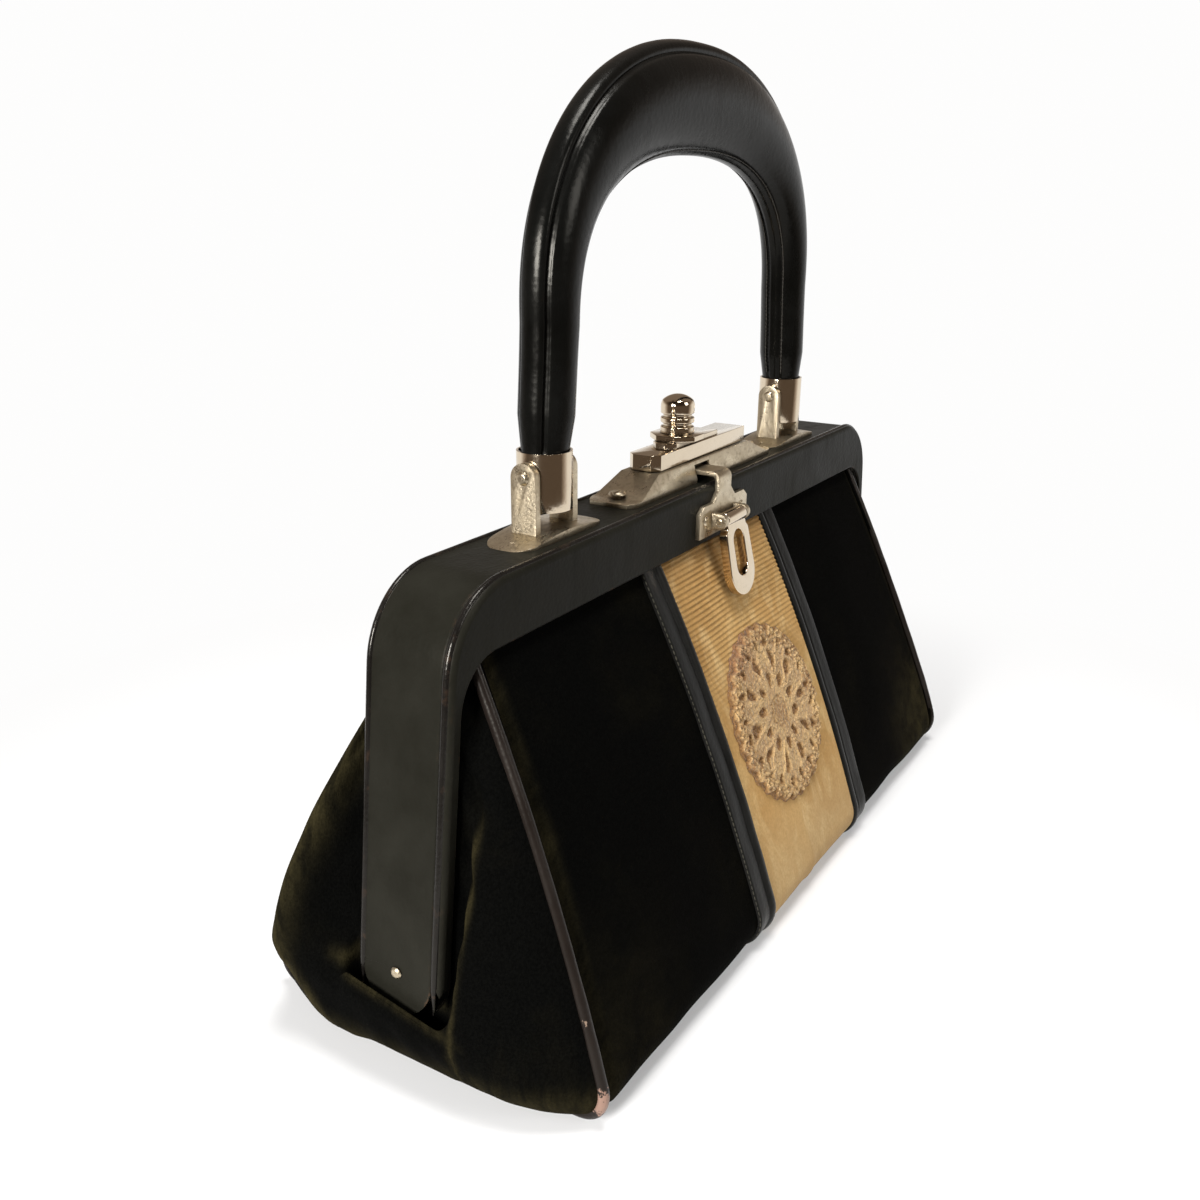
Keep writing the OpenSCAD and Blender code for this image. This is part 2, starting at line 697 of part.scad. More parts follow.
// Hasp: plate on the front frame, neck and hook over its edge, eye that the bolt's nose enters
module hasp() {
    hook_r = 2.6;
    hook_z = eye_z + hasp_t / 2 - hook_r;
    hook_y = hasp_y + hook_r;
    low = flange_edge_z + 2.4;
    high = flange_edge_z + 12;
    w = hasp_half_w;
    n = neck_half_w;
    color([0.66, 0.62, 0.54]) difference() {
        union() {
            slab_y(hasp_y, front_face_y) translate([hasp_x, 0]) polygon([
                [-w, low], [w, low], [w, high - 2], [w - 2.5, high], [n + 3, high],
                [n, high + 3], [n, hook_z], [-n, hook_z], [-n, high + 3], [-n - 3, high],
                [-w + 2.5, high], [-w, high - 2]
            ]);
            slab_x(hasp_x - n, hasp_x + n) {
                intersection() {
                    difference() {
                        translate([hook_y, hook_z]) circle(hook_r);
                        translate([hook_y, hook_z]) circle(hook_r - hasp_t);
                    }
                    translate([hook_y - 10, hook_z]) square([10, 10]);
                }
                translate([hook_y, eye_z - hasp_t / 2]) square([eye_y - hook_y, hasp_t]);
                translate([eye_y, eye_z]) circle(eye_r);
            }
            for (s = [-1, 1]) translate([hasp_x + s * (knuckle_half + clear + 1), 0, 0])
                slab_x(-1, 1) {
                    translate([drop_y, drop_z]) circle(knuckle_r);
                    translate([drop_y, drop_z - knuckle_r]) square([hasp_y - drop_y, 2 * knuckle_r]);
                }
        }
        translate([0, eye_y, eye_z]) rod_x(eye_bore, -far, far);
        translate([0, drop_y, drop_z]) rod_x(drop_pin_r, -far, far);
        hasp_rivet_holes();
    }
}
module hasp_rivets() {
    color([0.66, 0.62, 0.54]) for (s = [-1, 1])
        translate([hasp_x + s * hasp_rivet_x, 0, hasp_rivet_z]) rotate([90, 0, 0]) {
            translate([0, 0, -front_back_y]) cylinder(r = hasp_rivet_r, h = front_back_y - hasp_y);
            translate([0, 0, -hasp_y]) cylinder(r1 = 1.7, r2 = 1.2, h = 0.5);
        }
}
module drop_pin() {
    half = knuckle_half + clear + 2;
    color("silver") translate([hasp_x, drop_y, drop_z]) rod_x(drop_pin_r, -half, half);
}
module drop_pull() {
    end_z = -drop_l + drop_half_w;
    slot_w = drop_half_w - 4.4;
    slot_end_z = end_z + 1.6;
    shoulder_z = -knuckle_r - 0.9;
    color([0.78, 0.75, 0.7]) translate([hasp_x, drop_y, drop_z]) rotate([-drop_lean, 0, 0])
        difference() {
            union() {
                rod_x(knuckle_r, -knuckle_half, knuckle_half);
                slab_y(-drop_t / 2, drop_t / 2) {
                    translate([0, end_z]) circle(drop_half_w);
                    polygon([
                        [-knuckle_half, shoulder_z], [-knuckle_half, -1],
                        [knuckle_half, -1], [knuckle_half, shoulder_z],
                        [drop_half_w - 0.7, shoulder_z - 1.2],
                        [drop_half_w * cos(6), end_z + drop_half_w * sin(6)],
                        [-drop_half_w * cos(6), end_z + drop_half_w * sin(6)],
                        [-drop_half_w + 0.7, shoulder_z - 1.2]
                    ]);
                }
            }
            rod_x(drop_pin_r + run, -far, far);
            slab_y(-10, 10) {
                translate([0, slot_end_z]) circle(slot_w);
                translate([0, -7.6]) circle(slot_w);
                translate([-slot_w, slot_end_z]) square([2 * slot_w, -7.6 - slot_end_z]);
            }
        }
}

// Handle mount: domed plate, two posts with round tops, and two studs through the frame
module mount() {
    dome_r = 80;
    color([0.66, 0.62, 0.54]) difference() {
        union() {
            intersection() {
                translate([0, 0, frame_top]) linear_extrude(plate_t + 1) {
                    translate([-plate_l / 2 + plate_w / 2, -plate_w / 2])
                        square([plate_l - plate_w, plate_w]);
                    for (s = [-1, 1]) translate([s * (plate_l - plate_w) / 2, 0]) circle(plate_w / 2);
                }
                translate([0, 0, frame_top + plate_t - dome_r]) sphere(dome_r, $fn = 256);
            }
            for (s = [-1, 1]) translate([s * (post_x + post_t / 2), 0, 0])
                slab_x(-post_t / 2, post_t / 2) {
                    translate([-post_w / 2, frame_top + 1]) square([post_w, pin_lift - 1]);
                    translate([0, pin_z]) circle(post_w / 2);
                }
            for (s = [-1, 1]) translate([s * stud_x, 0, frame_top - stud_l])
                cylinder(r = stud_r, h = stud_l + 1);
        }
        translate([0, 0, pin_z]) rod_x(pin_r, -far, far);
    }
}
module mount_left() translate([-mount_x, 0, 0]) mount();
module mount_right() translate([mount_x, 0, 0]) mount();
module mount_nuts() {
    color("silver") for (s = [-1, 1], t = [-1, 1])
        hex_nut(s * mount_x + t * stud_x, frame_top - strap_in, stud_r);
}
module handle_pin() {
    half = post_x + post_t;
    color("silver") translate([0, 0, pin_z]) {
        rod_x(pin_r, -half, half);
        for (s = [0, 1]) mirror([s, 0, 0]) translate([half, 0, 0])
            rotate([0, 90, 0]) cylinder(r1 = 1.9, r2 = 1.2, h = 0.8);
    }
}
module handle_pin_left() translate([-mount_x, 0, 0]) handle_pin();
module handle_pin_right() translate([mount_x, 0, 0]) handle_pin();
module ferrule() {
    color([0.75, 0.72, 0.66]) difference() {
        translate([0, 0, ferrule_z]) difference() {
            cylinder(r = ferrule_r, h = ferrule_h, $fn = 96);
            translate([0, 0, -1]) cylinder(r = ferrule_r - ferrule_wall, h = ferrule_h + 2, $fn = 96);
        }
        translate([0, 0, pin_z]) rod_x(pin_r + run, -far, far);
    }
}
module ferrule_left() translate([-mount_x, 0, 0]) ferrule();
module ferrule_right() translate([mount_x, 0, 0]) ferrule();

// Middle line of the handle: up one leg, round a squared arch and down the other leg
arch_step = 6;
leg_stops = [0, 0.1, 0.35, 0.65];
grip_end_r = ferrule_r - ferrule_wall - 0.4;
function arch_point(t) = [
    -arch_half_w * sign(cos(t)) * pow(abs(cos(t)), 2 / arch_power),
    spring_z + arch_rise * pow(abs(sin(t)), 2 / arch_power)
];
function leg_point(k) = [
    -mount_x + (mount_x - arch_half_w) * k,
    grip_start + (spring_z - grip_start) * k
];
handle_turns = concat([for (k = leg_stops) k - 1],
    [for (t = [0:arch_step:180]) t / 180], [for (i = [3:-1:0]) 2 - leg_stops[i]]);
function handle_point(u) =
    u < 0 ? leg_point(u + 1) : u <= 1 ? arch_point(180 * u)
    : let (p = leg_point(2 - u)) [-p[0], p[1]];
function swell(u) = u < 0 || u > 1 ? 0 : pow(sin(180 * u), 1.23);
// Share of the leg's swelling, which starts just above the ferrule
function leg_swell(u) = let (k = u < 0 ? u + 1 : u > 1 ? 2 - u : 1) max(0, min(1, (k - 0.1) * 4));
function grip_base(u) = grip_end_r + 1.1 * leg_swell(u);
function grip_radial(u) = grip_base(u) + (grip_half_radial - grip_end_r - 1.1) * swell(u);
function grip_depth(u) = grip_base(u) + (grip_half_depth - grip_end_r - 1.1) * swell(u);
function handle_out(u) =
    let (t = handle_point(u + 0.01) - handle_point(u - 0.01), n = norm(t))
    [-t[1] / n, 0, t[0] / n];
function handle_centre(u) = let (p = handle_point(u)) [p[0], 0, p[1]];
// A bar along the handle, which may run past the grip's two ends
module handle_bar(a_of, b_of, sides, past = 0) {
    skin([for (i = [0:len(handle_turns) - 1])
        let (u = handle_turns[i] + (i == 0 ? -past : i == len(handle_turns) - 1 ? past : 0))
        ring(handle_centre(u), handle_out(u), [0, 1, 0], a_of(u), b_of(u), sides)]);
}
module handle_leather() {
    color([0.08, 0.08, 0.08]) difference() {
        handle_bar(function (u) grip_radial(u), function (u) grip_depth(u), 16);
        handle_bar(function (u) core_r + 0.1, function (u) core_r + 0.1, 8, 0.02);
    }
}
module handle_core() color("silver") handle_bar(function (u) core_r, function (u) core_r, 8);
// Raised strip stitched along the outside of the grip
welt_t = 1.2;
welt_half_w = 3.4;
module handle_welt() {
    welt_turns = [for (u = handle_turns) if (u > -0.95 && u < 1.95) u];
    color([0.06, 0.06, 0.06]) skin([for (u = welt_turns)
        ring(handle_centre(u) + handle_out(u) * (grip_radial(u) + welt_t / 2 + 0.05),
            handle_out(u), [0, 1, 0], welt_t / 2, welt_half_w, 8)]);
}

rear_frame();
rear_frame_leather();
front_frame();
front_frame_leather();
hinge_rivet_left();
hinge_rivet_right();
hinge_washers();
front_velvet_left();
front_velvet_right();
front_stripe();
front_strip_left();
front_strip_right();
medallion();
rear_velvet_left();
rear_velvet_right();
rear_stripe();
rear_strip_left();
rear_strip_right();
gusset_left();
gusset_right();
bottom_velvet();
bottom_board();
piping_front_left();
piping_front_right();
piping_rear_left();
piping_rear_right();
lining_front();
lining_rear();
lining_left();
lining_right();
lining_bottom();
lock_base();
lock_screws();
lock_backing_plate();
lock_nuts();
lock_slide();
knob_collar();
knob();
lock_bolt();
detent_spring();
hasp();
hasp_rivets();
drop_pin();
drop_pull();
mount_left();
mount_right();
mount_nuts();
handle_pin_left();
handle_pin_right();
ferrule_left();
ferrule_right();
handle_core();
handle_leather();
handle_welt();
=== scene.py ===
"""Framed handbag with velvet walls, a ribbed centre stripe, a slide lock and a stiff loop handle."""

import json
from math import atan2, copysign, cos, exp, hypot, pi, radians, remainder, sin, sqrt, tan, tau

import bmesh
import bpy
from mathutils import Matrix, Vector, noise

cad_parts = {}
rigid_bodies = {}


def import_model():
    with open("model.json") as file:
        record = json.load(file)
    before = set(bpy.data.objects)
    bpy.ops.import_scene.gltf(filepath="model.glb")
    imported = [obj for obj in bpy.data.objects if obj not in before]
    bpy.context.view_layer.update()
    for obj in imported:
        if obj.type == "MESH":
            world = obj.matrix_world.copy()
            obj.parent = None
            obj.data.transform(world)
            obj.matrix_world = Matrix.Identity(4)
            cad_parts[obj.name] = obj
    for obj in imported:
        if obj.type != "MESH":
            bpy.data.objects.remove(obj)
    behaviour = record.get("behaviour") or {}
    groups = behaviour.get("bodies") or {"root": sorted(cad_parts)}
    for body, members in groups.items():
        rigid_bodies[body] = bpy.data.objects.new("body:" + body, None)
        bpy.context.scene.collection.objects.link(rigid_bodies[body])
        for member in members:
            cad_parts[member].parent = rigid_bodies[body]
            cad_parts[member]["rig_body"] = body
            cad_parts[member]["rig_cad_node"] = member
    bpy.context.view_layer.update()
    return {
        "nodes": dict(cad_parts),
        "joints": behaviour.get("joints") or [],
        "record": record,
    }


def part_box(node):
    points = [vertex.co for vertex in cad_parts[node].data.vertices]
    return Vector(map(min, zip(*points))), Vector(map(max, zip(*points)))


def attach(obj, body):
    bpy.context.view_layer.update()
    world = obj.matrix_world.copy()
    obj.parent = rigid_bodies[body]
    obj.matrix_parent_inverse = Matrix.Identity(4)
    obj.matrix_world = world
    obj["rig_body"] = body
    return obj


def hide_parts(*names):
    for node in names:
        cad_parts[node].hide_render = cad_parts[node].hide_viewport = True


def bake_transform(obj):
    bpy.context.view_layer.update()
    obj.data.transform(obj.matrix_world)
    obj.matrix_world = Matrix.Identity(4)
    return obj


bl_info = {
    "name": "Framed handbag",
    "version": (1, 0, 0),
    "blender": (4, 5, 0),
    "location": "3D View > Sidebar > Handbag",
    "description": "Models the soft parts and finishes of a framed handbag around its frame",
    "category": "Object",
}

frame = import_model()
MM = 0.001
IMAGE_SIDE = 1200


# Sizes and colours that a user would change
def length(name, about, default, low=0.0, high=1.0):
    return bpy.props.FloatProperty(
        name=name, description=about, default=default, min=low, max=high, unit="LENGTH", precision=5
    )


def colour(name, about, default):
    return bpy.props.FloatVectorProperty(
        name=name, description=about, default=default, size=3, min=0, max=1, subtype="COLOR"
    )


def srgb(r, g, b):
    """A colour written as it looks on screen, 0 to 255, in linear light."""
    def linear(c):
        c = c / 255
        return c / 12.92 if c <= 0.04045 else ((c + 0.055) / 1.055) ** 2.4
    return (linear(r), linear(g), linear(b))


class BodySizes(bpy.types.PropertyGroup):
    wall_top: length("Wall top", "Height at which the walls are tucked behind the flanges", 0.112)
    front_tuck: length("Front tuck", "Depth of the front wall at its top", -0.0094, -1, 1)
    rear_tuck: length("Rear tuck", "Depth of the rear wall at its top", 0.008)
    base_half: length("Base half depth", "Half depth where the lower corners start", 0.0535)
    corner_r: length("Corner radius", "Radius of the lower front and rear corners", 0.009)
    bow_r: length("Bow radius", "Radius of the gentle bow of the walls", 0.65)
    foot_half: length("Half width at floor", "Half width of the body at the floor", 0.127)
    top_half: length("Half width at top", "Half width of the body at the top of its walls", 0.11705)
    stripe_half: length("Stripe half width", "Half width of the ribbed stripe", 0.0329)
    strip_w: length("Strip width", "Width of each leather strip", 0.011)
    velvet_t: length("Velvet thickness", "Thickness of the velvet walls", 0.0016)
    piping_r: length("Piping radius", "Radius of the piping", 0.0015)
    rosette_r: length("Rosette radius", "Radius of the applique", 0.0285)
    rosette_z: length("Rosette height", "Height of the applique's middle", 0.056)


class Colours(bpy.types.PropertyGroup):
    velvet: colour("Velvet", "Ground colour of the velvet", srgb(6, 6, 5))
    # Colour of the painted highlight on the velvet's crests, and of its worn and dusty pile
    velvet_sheen_and_wear: colour("Velvet pile", "Colour of the brushed and worn pile", srgb(58, 52, 32))
    ribbed: colour("Ribbed velvet", "Colour of the stripe", srgb(188, 150, 94))
    # Colour of the painted shade between the ribs
    ribbed_dark: colour("Ribbed velvet shade", "Colour between the ribs", srgb(138, 102, 56))
    applique: colour("Applique", "Colour of the loops", srgb(210, 176, 128))
    # Colour of the painted shade between the loops and in the recesses
    applique_dark: colour("Applique shade", "Colour deep between the loops", srgb(132, 96, 58))
    leather: colour("Frame leather", "Colour of the leather over the frame", srgb(23, 22, 17))
    worn: colour("Worn leather", "Colour of the leather's scuffed edges", srgb(92, 68, 50))
    handle: colour("Handle leather", "Colour of the glossy handle leather", srgb(6, 6, 5))
    nickel: colour("Nickel", "Colour of the satin nickel", srgb(206, 192, 166))
    polished: colour("Polished nickel", "Colour of the bright nickel", srgb(222, 206, 182))
    thread: colour("Thread", "Colour of the stitches", srgb(64, 60, 54))
    lining: colour("Lining", "Colour of the cotton lining", srgb(122, 102, 76))


def mm(*values):
    return [v * MM for v in values]


ENDS = ((-1, "front"), (1, "rear"))
HANDS = ((-1, "left"), (1, "right"))
# How close points are merged, and at what angles faces count as flat and edges as sharp
MERGED = 1e-6
FLAT_ANGLE = radians(0.3)
BEVEL_ANGLE = radians(30)
SHARP_ANGLE = radians(50)
# Sizes of the frame as it is in CAD
HINGE_Z = frame["joints"][0]["pos_m"][2]
FRAME_TOP = 0.1262
FRAME_CORNER = 0.022
EDGE_FOOT_Z = 0.0235
LEG_FOOT_X = 0.1398
LEG_LEAN = radians(7)
LEG_DEPTH = 0.0041
LEG_GAP = 0.0016
OPENING_Z = 0.06
# Where cloth would start and end its bend as the front frame opens, though nothing here bends it: the front
# wall and sides, and the pleats
FOLD = ((0.0, 0.0, 0.024), (0.0, 0.0, 0.064))
PLEAT_FOLD = ((0, 0.0020, 0), (0, -0.0020, 0))
# Thicknesses, and how far the pieces run under each other
STRIP_T = 0.0014
ROSETTE_T = 0.0007
PLEAT_T = 0.0008
GUSSET_T = 0.0010
BASE_T = 0.0014
LINING_T = 0.0006
LINING_SIDE_T = 0.0005
WALL_LAP = 0.004
STRIPE_LAP = 0.0004
STRIP_LAP = 0.0012
# The seam's groove beside the piping, the ribs' pitch, and a stitch's half length and half width
SEAM_W = 0.0035
SEAM_DIP = 0.0011
RIB = 0.0015
STITCH = (0.0008, 0.00022)
STITCH_PITCH = 0.0017
# The gussets: ring heights, how far the crest stands out at each, and the pocket round the leg's end as
# (x, z), where no x means just inside the leg
GUSSET_LEVELS = mm(110.5, 100, 90, 77, 65, 52, 42, 34, 28, 23, 17, 10, 4.5, 1.2, 0.2, 0.1)
BULGES = {
    -1: mm(0.5, 1.5, 3.5, 7.5, 11, 14.2, 16, 17.4, 18.2, 18.6, 18.3, 15.5, 11.5, 8.2, 4, -6),
    1: mm(0.5, 4.5, 8.6, 14.5, 18.6, 21, 21.4, 20.8, 19.8, 18.8, 17.6, 15.6, 13, 10, 5, -6),
}
LEG_POCKET = [
    mm(x, z) for x, z in (
        (0, 110.5), (0, 100), (0, 90), (0, 77), (0, 60), (0, 42), (0, 24), (138.2, 16.0), (141.7, 20.4),
        (143.1, 25.0), (144.4, 19.6), (141.6, 10), (137.8, 4.5), (135.0, 1.2), (131.5, 0.2), (121, 0.1),
    )
]
# Worn places as (middle, reach, colour)
HANDLE_SPOTS = (
    ((-0.0835, -0.0066, 0.1832), 0.0034, (0.30, 0.17, 0.11)),
    ((0.0790, -0.0062, 0.1600), 0.0028, (0.22, 0.16, 0.12)),
)
EDGE_SPOTS = (
    ((-0.1362, -0.0115, 0.1030), 0.0018, (0.14, 0.07, 0.04)),
    ((-0.1385, -0.0115, 0.0858), 0.0012, (0.16, 0.10, 0.06)),
    ((-0.1347, -0.0115, 0.1085), 0.0010, (0.14, 0.07, 0.04)),
)
PIPING_SPOTS = (
    ((-0.1295, -0.0535, 0.0075), 0.0042, (0.26, 0.16, 0.12)),
    ((-0.1290, -0.0470, 0.0280), 0.0016, (0.20, 0.14, 0.10)),
)


# Small helpers for modelling
def settings(group):
    return getattr(bpy.context.scene, group)


def deselect():
    if bpy.context.mode != "OBJECT":
        bpy.ops.object.mode_set(mode="OBJECT")
    bpy.ops.object.select_all(action="DESELECT")


def take(piece):
    """Makes a piece the only selected and the active one."""
    deselect()
    piece.select_set(True)
    bpy.context.view_layer.objects.active = piece


def named(name, piece=None):
    """Names a piece, or the one that was just added, and its mesh."""
    piece = piece or bpy.context.object
    piece.name = piece.data.name = name
    return piece


def apply_modifier(piece, kind, **values):
    take(piece)
    modifier = piece.modifiers.new(kind.title(), kind)
    for key, value in values.items():
        setattr(modifier, key, value)
    bpy.ops.object.modifier_apply(modifier=modifier.name)


def edit(piece, selected="SELECT"):
    take(piece)
    bpy.ops.object.mode_set(mode="EDIT")
    bpy.ops.mesh.select_all(action=selected)


def leave_edit():
    bpy.ops.object.mode_set(mode="OBJECT")


def smooth(piece, angle=40):
    take(piece)
    bpy.ops.object.shade_smooth_by_angle(angle=radians(angle))


def grid(name, across, along, place, **shades):
    """A grid of faces whose points are placed by place(u, v), with u and v from 0 to 1. Its UV map is (u, v).
    Each shade is a function of u and v that is kept as an attribute of its points."""
    deselect()
    bpy.ops.mesh.primitive_grid_add(x_subdivisions=across, y_subdivisions=along, size=2)
    piece = named(name)
    new_layer = piece.data.attributes.new
    layers = [(shade, new_layer(key, "FLOAT", "POINT").data) for key, shade in shades.items()]
    for vertex in piece.data.vertices:
        u, v = (vertex.co.x + 1) / 2, (vertex.co.y + 1) / 2
        for shade, layer in layers:
            layer[vertex.index].value = shade(u, v)
        vertex.co = place(u, v)
    return piece


def tube(name, around, along, place):
    """A grid wrapped round into a tube with closed ends, u going round and v along."""
    piece = grid(name, around, along, place)
    edit(piece)
    bpy.ops.mesh.remove_doubles(threshold=MERGED)
    bpy.ops.mesh.select_all(action="DESELECT")
    bpy.ops.mesh.select_mode(type="EDGE")
    bpy.ops.mesh.select_non_manifold()
    bpy.ops.mesh.fill_holes(sides=0)
    leave_edit()
    edit(piece)
    bpy.ops.mesh.normals_make_consistent(inside=False)
    leave_edit()
    return piece


def facing(piece, towards):
    """Turns a sheet's faces so that most of them look along a direction."""
    if sum((p.normal.dot(towards) * p.area for p in piece.data.polygons), 0.0) < 0:
        edit(piece)
        bpy.ops.mesh.flip_normals()
        leave_edit()


def from_cad(node, name, bevel=0.0, segments=3, smooth_angle=40):
    """A copy of a CAD node with its triangles merged and its edges rounded."""
    source = frame["nodes"][node]
    deselect()
    copy = source.copy()
    copy.data = source.data.copy()
    copy.parent = None
    copy.matrix_world = Matrix.Identity(4)
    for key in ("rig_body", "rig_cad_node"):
        if key in copy:
            del copy[key]
    bpy.context.scene.collection.objects.link(copy)
    named(name, copy)
    edit(copy)
    bpy.ops.mesh.remove_doubles(threshold=MERGED)
    bpy.ops.mesh.dissolve_limited(angle_limit=FLAT_ANGLE)
    leave_edit()
    if bevel:
        apply_modifier(
            copy, "BEVEL", width=bevel, segments=segments, limit_method="ANGLE",
            angle_limit=BEVEL_ANGLE, harden_normals=False, use_clamp_overlap=True,
        )
    smooth(copy, smooth_angle)
    return copy


def round_edges(piece, pick, offset, segments=4):
    """Rounds the sharp edges whose middle and face normals pick(middle, normals) accepts."""
    edit(piece)
    bpy.ops.mesh.select_mode(type="EDGE")
    bpy.ops.mesh.select_all(action="DESELECT")
    work = bmesh.from_edit_mesh(piece.data)
    for edge in work.edges:
        if len(edge.link_faces) == 2 and edge.calc_face_angle() > SHARP_ANGLE:
            middle = (edge.verts[0].co + edge.verts[1].co) / 2
            if pick(middle, [face.normal for face in edge.link_faces]):
                edge.select_set(True)
    bmesh.update_edit_mesh(piece.data)
    bpy.ops.mesh.bevel(offset=offset, segments=segments, profile=0.5, clamp_overlap=False)
    leave_edit()


def dress(piece, finish, slot_name, nodes=(), body="bag_body", bend=None):
    """Gives a piece its finish, hides the CAD nodes that it stands for, and puts it on the body that it rides
    on.
    Its slot name is not used. Given the two places of a bend instead, it is only fixed where it stands and
    does not bend."""
    piece.data.materials.clear()
    piece.data.materials.append(material(finish))
    if nodes:
        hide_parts(*nodes)
    if bend:
        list(bend)
        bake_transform(piece)
    else:
        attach(piece, body)


def cloth(piece, towards, thickness, finish, slot_name, nodes=(), bend=None, angle=60, offset=-1.0):
    """Turns a sheet to face outwards, gives it a thickness and dresses it. Offset -1 keeps the sheet as its
    outer face."""
    facing(piece, Vector(towards))
    apply_modifier(piece, "SOLIDIFY", thickness=thickness, offset=offset, use_even_offset=False)
    smooth(piece, angle)
    dress(piece, finish, slot_name, nodes, bend=bend)


def metal(finish, slot_name, *pieces):
    """CAD nodes with rounded edges: each is (node, new name, bevel, segments, smoothing angle)."""
    for node, name, *rounding in pieces:
        dress(from_cad(node, name, *rounding), finish, slot_name, [node], body_of(node))


def paint(finish, *nodes):
    """Gives CAD nodes, which stay as they are, a better material."""
    for node in nodes:
        mesh = frame["nodes"][node].data
        mesh.materials.clear()
        mesh.materials.append(material(finish))


def body_of(node):
    return next(b for b, ns in frame["record"]["behaviour"]["bodies"].items() if node in ns)


def wave(point, scale, seed=0.0):
    """Smooth noise from -1 to 1 at a place."""
    return noise.noise(Vector(point) / scale + Vector((seed, seed * 1.7, seed * 0.6)))


def ease(t, low, high):
    """Smooth step from 0 at low to 1 at high, or back down where high is below low."""
    t = max(0.0, min(1.0, (t - low) / (high - low)))
    return t * t * (3 - 2 * t)


def along(points, t):
    """A smooth curve through a list of points, at t from 0 to 1."""
    place = t * (len(points) - 1)
    i = min(int(place), len(points) - 2)
    k = place - i
    a, b, c, d = (points[max(0, min(len(points) - 1, i + j))] for j in (-1, 0, 1, 2))
    square, cube = 2 * a - 5 * b + 4 * c - d, 3 * b - a - 3 * c + d
    return 0.5 * (2 * b + (c - a) * k + square * k ** 2 + cube * k ** 3)


# The walls' outline, seen from the side
class Wall:
    """The outer line of the front or rear wall: a bow, a lower corner and the floor."""

    def __init__(self, side):
        body = settings("body_sizes")
        self.side = side
        tuck = body.front_tuck if side < 0 else -body.rear_tuck
        top = Vector((tuck, body.wall_top))
        low = Vector((-body.base_half, body.corner_r))
        run = top - low
        half = run.length / 2
        reach = sqrt(body.bow_r ** 2 - half ** 2)
        self.bow_r, self.corner_r, self.top = body.bow_r, body.corner_r, top
        self.centre = (top + low) / 2 + reach * Vector((run.y, -run.x)).normalized()
        inner = self.bow_r - self.corner_r
        self.corner = Vector((
            self.centre.x - sqrt(inner ** 2 - (self.corner_r - self.centre.y) ** 2), self.corner_r
        ))
        direction = (self.corner - self.centre).normalized()
        self.join = self.centre + direction * self.bow_r
        self.join_angle = atan2(-direction.y, -direction.x)
        self.bow_length = (top - self.join).length
        self.length = self.bow_length + self.corner_r * (pi / 2 - self.join_angle)
        self.run = self.length + WALL_LAP
        self.out = Vector((0, side, 0))
        self.bend = FOLD if side < 0 else None

    def at(self, s, out=0.0):
        """(y, z) at a distance s down from the wall's top, and out beyond its outer face."""
        if s <= self.bow_length:
            z = self.top.y + (self.join.y - self.top.y) * s / self.bow_length
            y = self.centre.x - sqrt(self.bow_r ** 2 - (z - self.centre.y) ** 2)
            point = Vector((y, z))
            normal = (point - self.centre).normalized()
        elif s <= self.length:
            angle = self.join_angle + (s - self.bow_length) / self.corner_r
            normal = Vector((-cos(angle), -sin(angle)))
            point = self.corner + normal * self.corner_r
        else:
            normal = Vector((0, -1))
            point = Vector((self.corner.x + s - self.length, 0))
        point = point + normal * out
        return -self.side * point.x, point.y

    def down_to(self, z):
        """Distance down from the wall's top to a height on its bow."""
        return self.bow_length * (self.top.y - z) / (self.top.y - self.join.y)

    def depth(self, z):
        """Depth of the outer face at a height."""
        if z >= self.join.y:
            y = self.centre.x - sqrt(self.bow_r ** 2 - (z - self.centre.y) ** 2)
        else:
            drop = min(self.corner_r, self.corner_r - z)
            y = self.corner.x - sqrt(max(0.0, self.corner_r ** 2 - drop ** 2))
        return -y if self.side > 0 else y


def side_x(z, hand):
    """Half width at a height. The lower corners are rounded off, and the right one has slumped more."""
    body = settings("body_sizes")
    corner, tuck, waist = (0.026, 0.0085, 0.0024) if hand > 0 else (0.012, 0.0025, 0.0)
    x = body.foot_half + (body.top_half - body.foot_half) * z / body.wall_top
    q = max(0.0, min(1.0, 1 - z / corner))
    x -= tuck * (1 - sqrt(1 - q * q))
    return x - waist * sin(pi * max(0.0, min(1.0, z / body.wall_top)))


def frame_edge(inset):
    """Points along the frame's outer edge, from the left leg's end over the top to the right leg's."""
    arc_steps, leg_steps = 24, 12
    corner = FRAME_CORNER - inset
    z = FRAME_TOP - FRAME_CORNER
    x = LEG_FOOT_X - (z - HINGE_Z) * tan(LEG_LEAN) - FRAME_CORNER / cos(LEG_LEAN)
    turns = [LEG_LEAN + (pi / 2 - LEG_LEAN) * i / arc_steps for i in range(arc_steps + 1)]
    right = [(x + corner * cos(a), z + corner * sin(a)) for a in reversed(turns)]
    foot_x, foot_z = right[-1]
    drop = foot_z - EDGE_FOOT_Z
    for i in range(1, leg_steps + 1):
        right.append((foot_x + drop * i / leg_steps * tan(LEG_LEAN), foot_z - drop * i / leg_steps))
    return [(-a, b) for a, b in reversed(right)] + right


def leg_inside(z):
    """Half width just inside the legs at a height."""
    return LEG_FOOT_X - (z - HINGE_Z) * tan(LEG_LEAN) - LEG_DEPTH - LEG_GAP


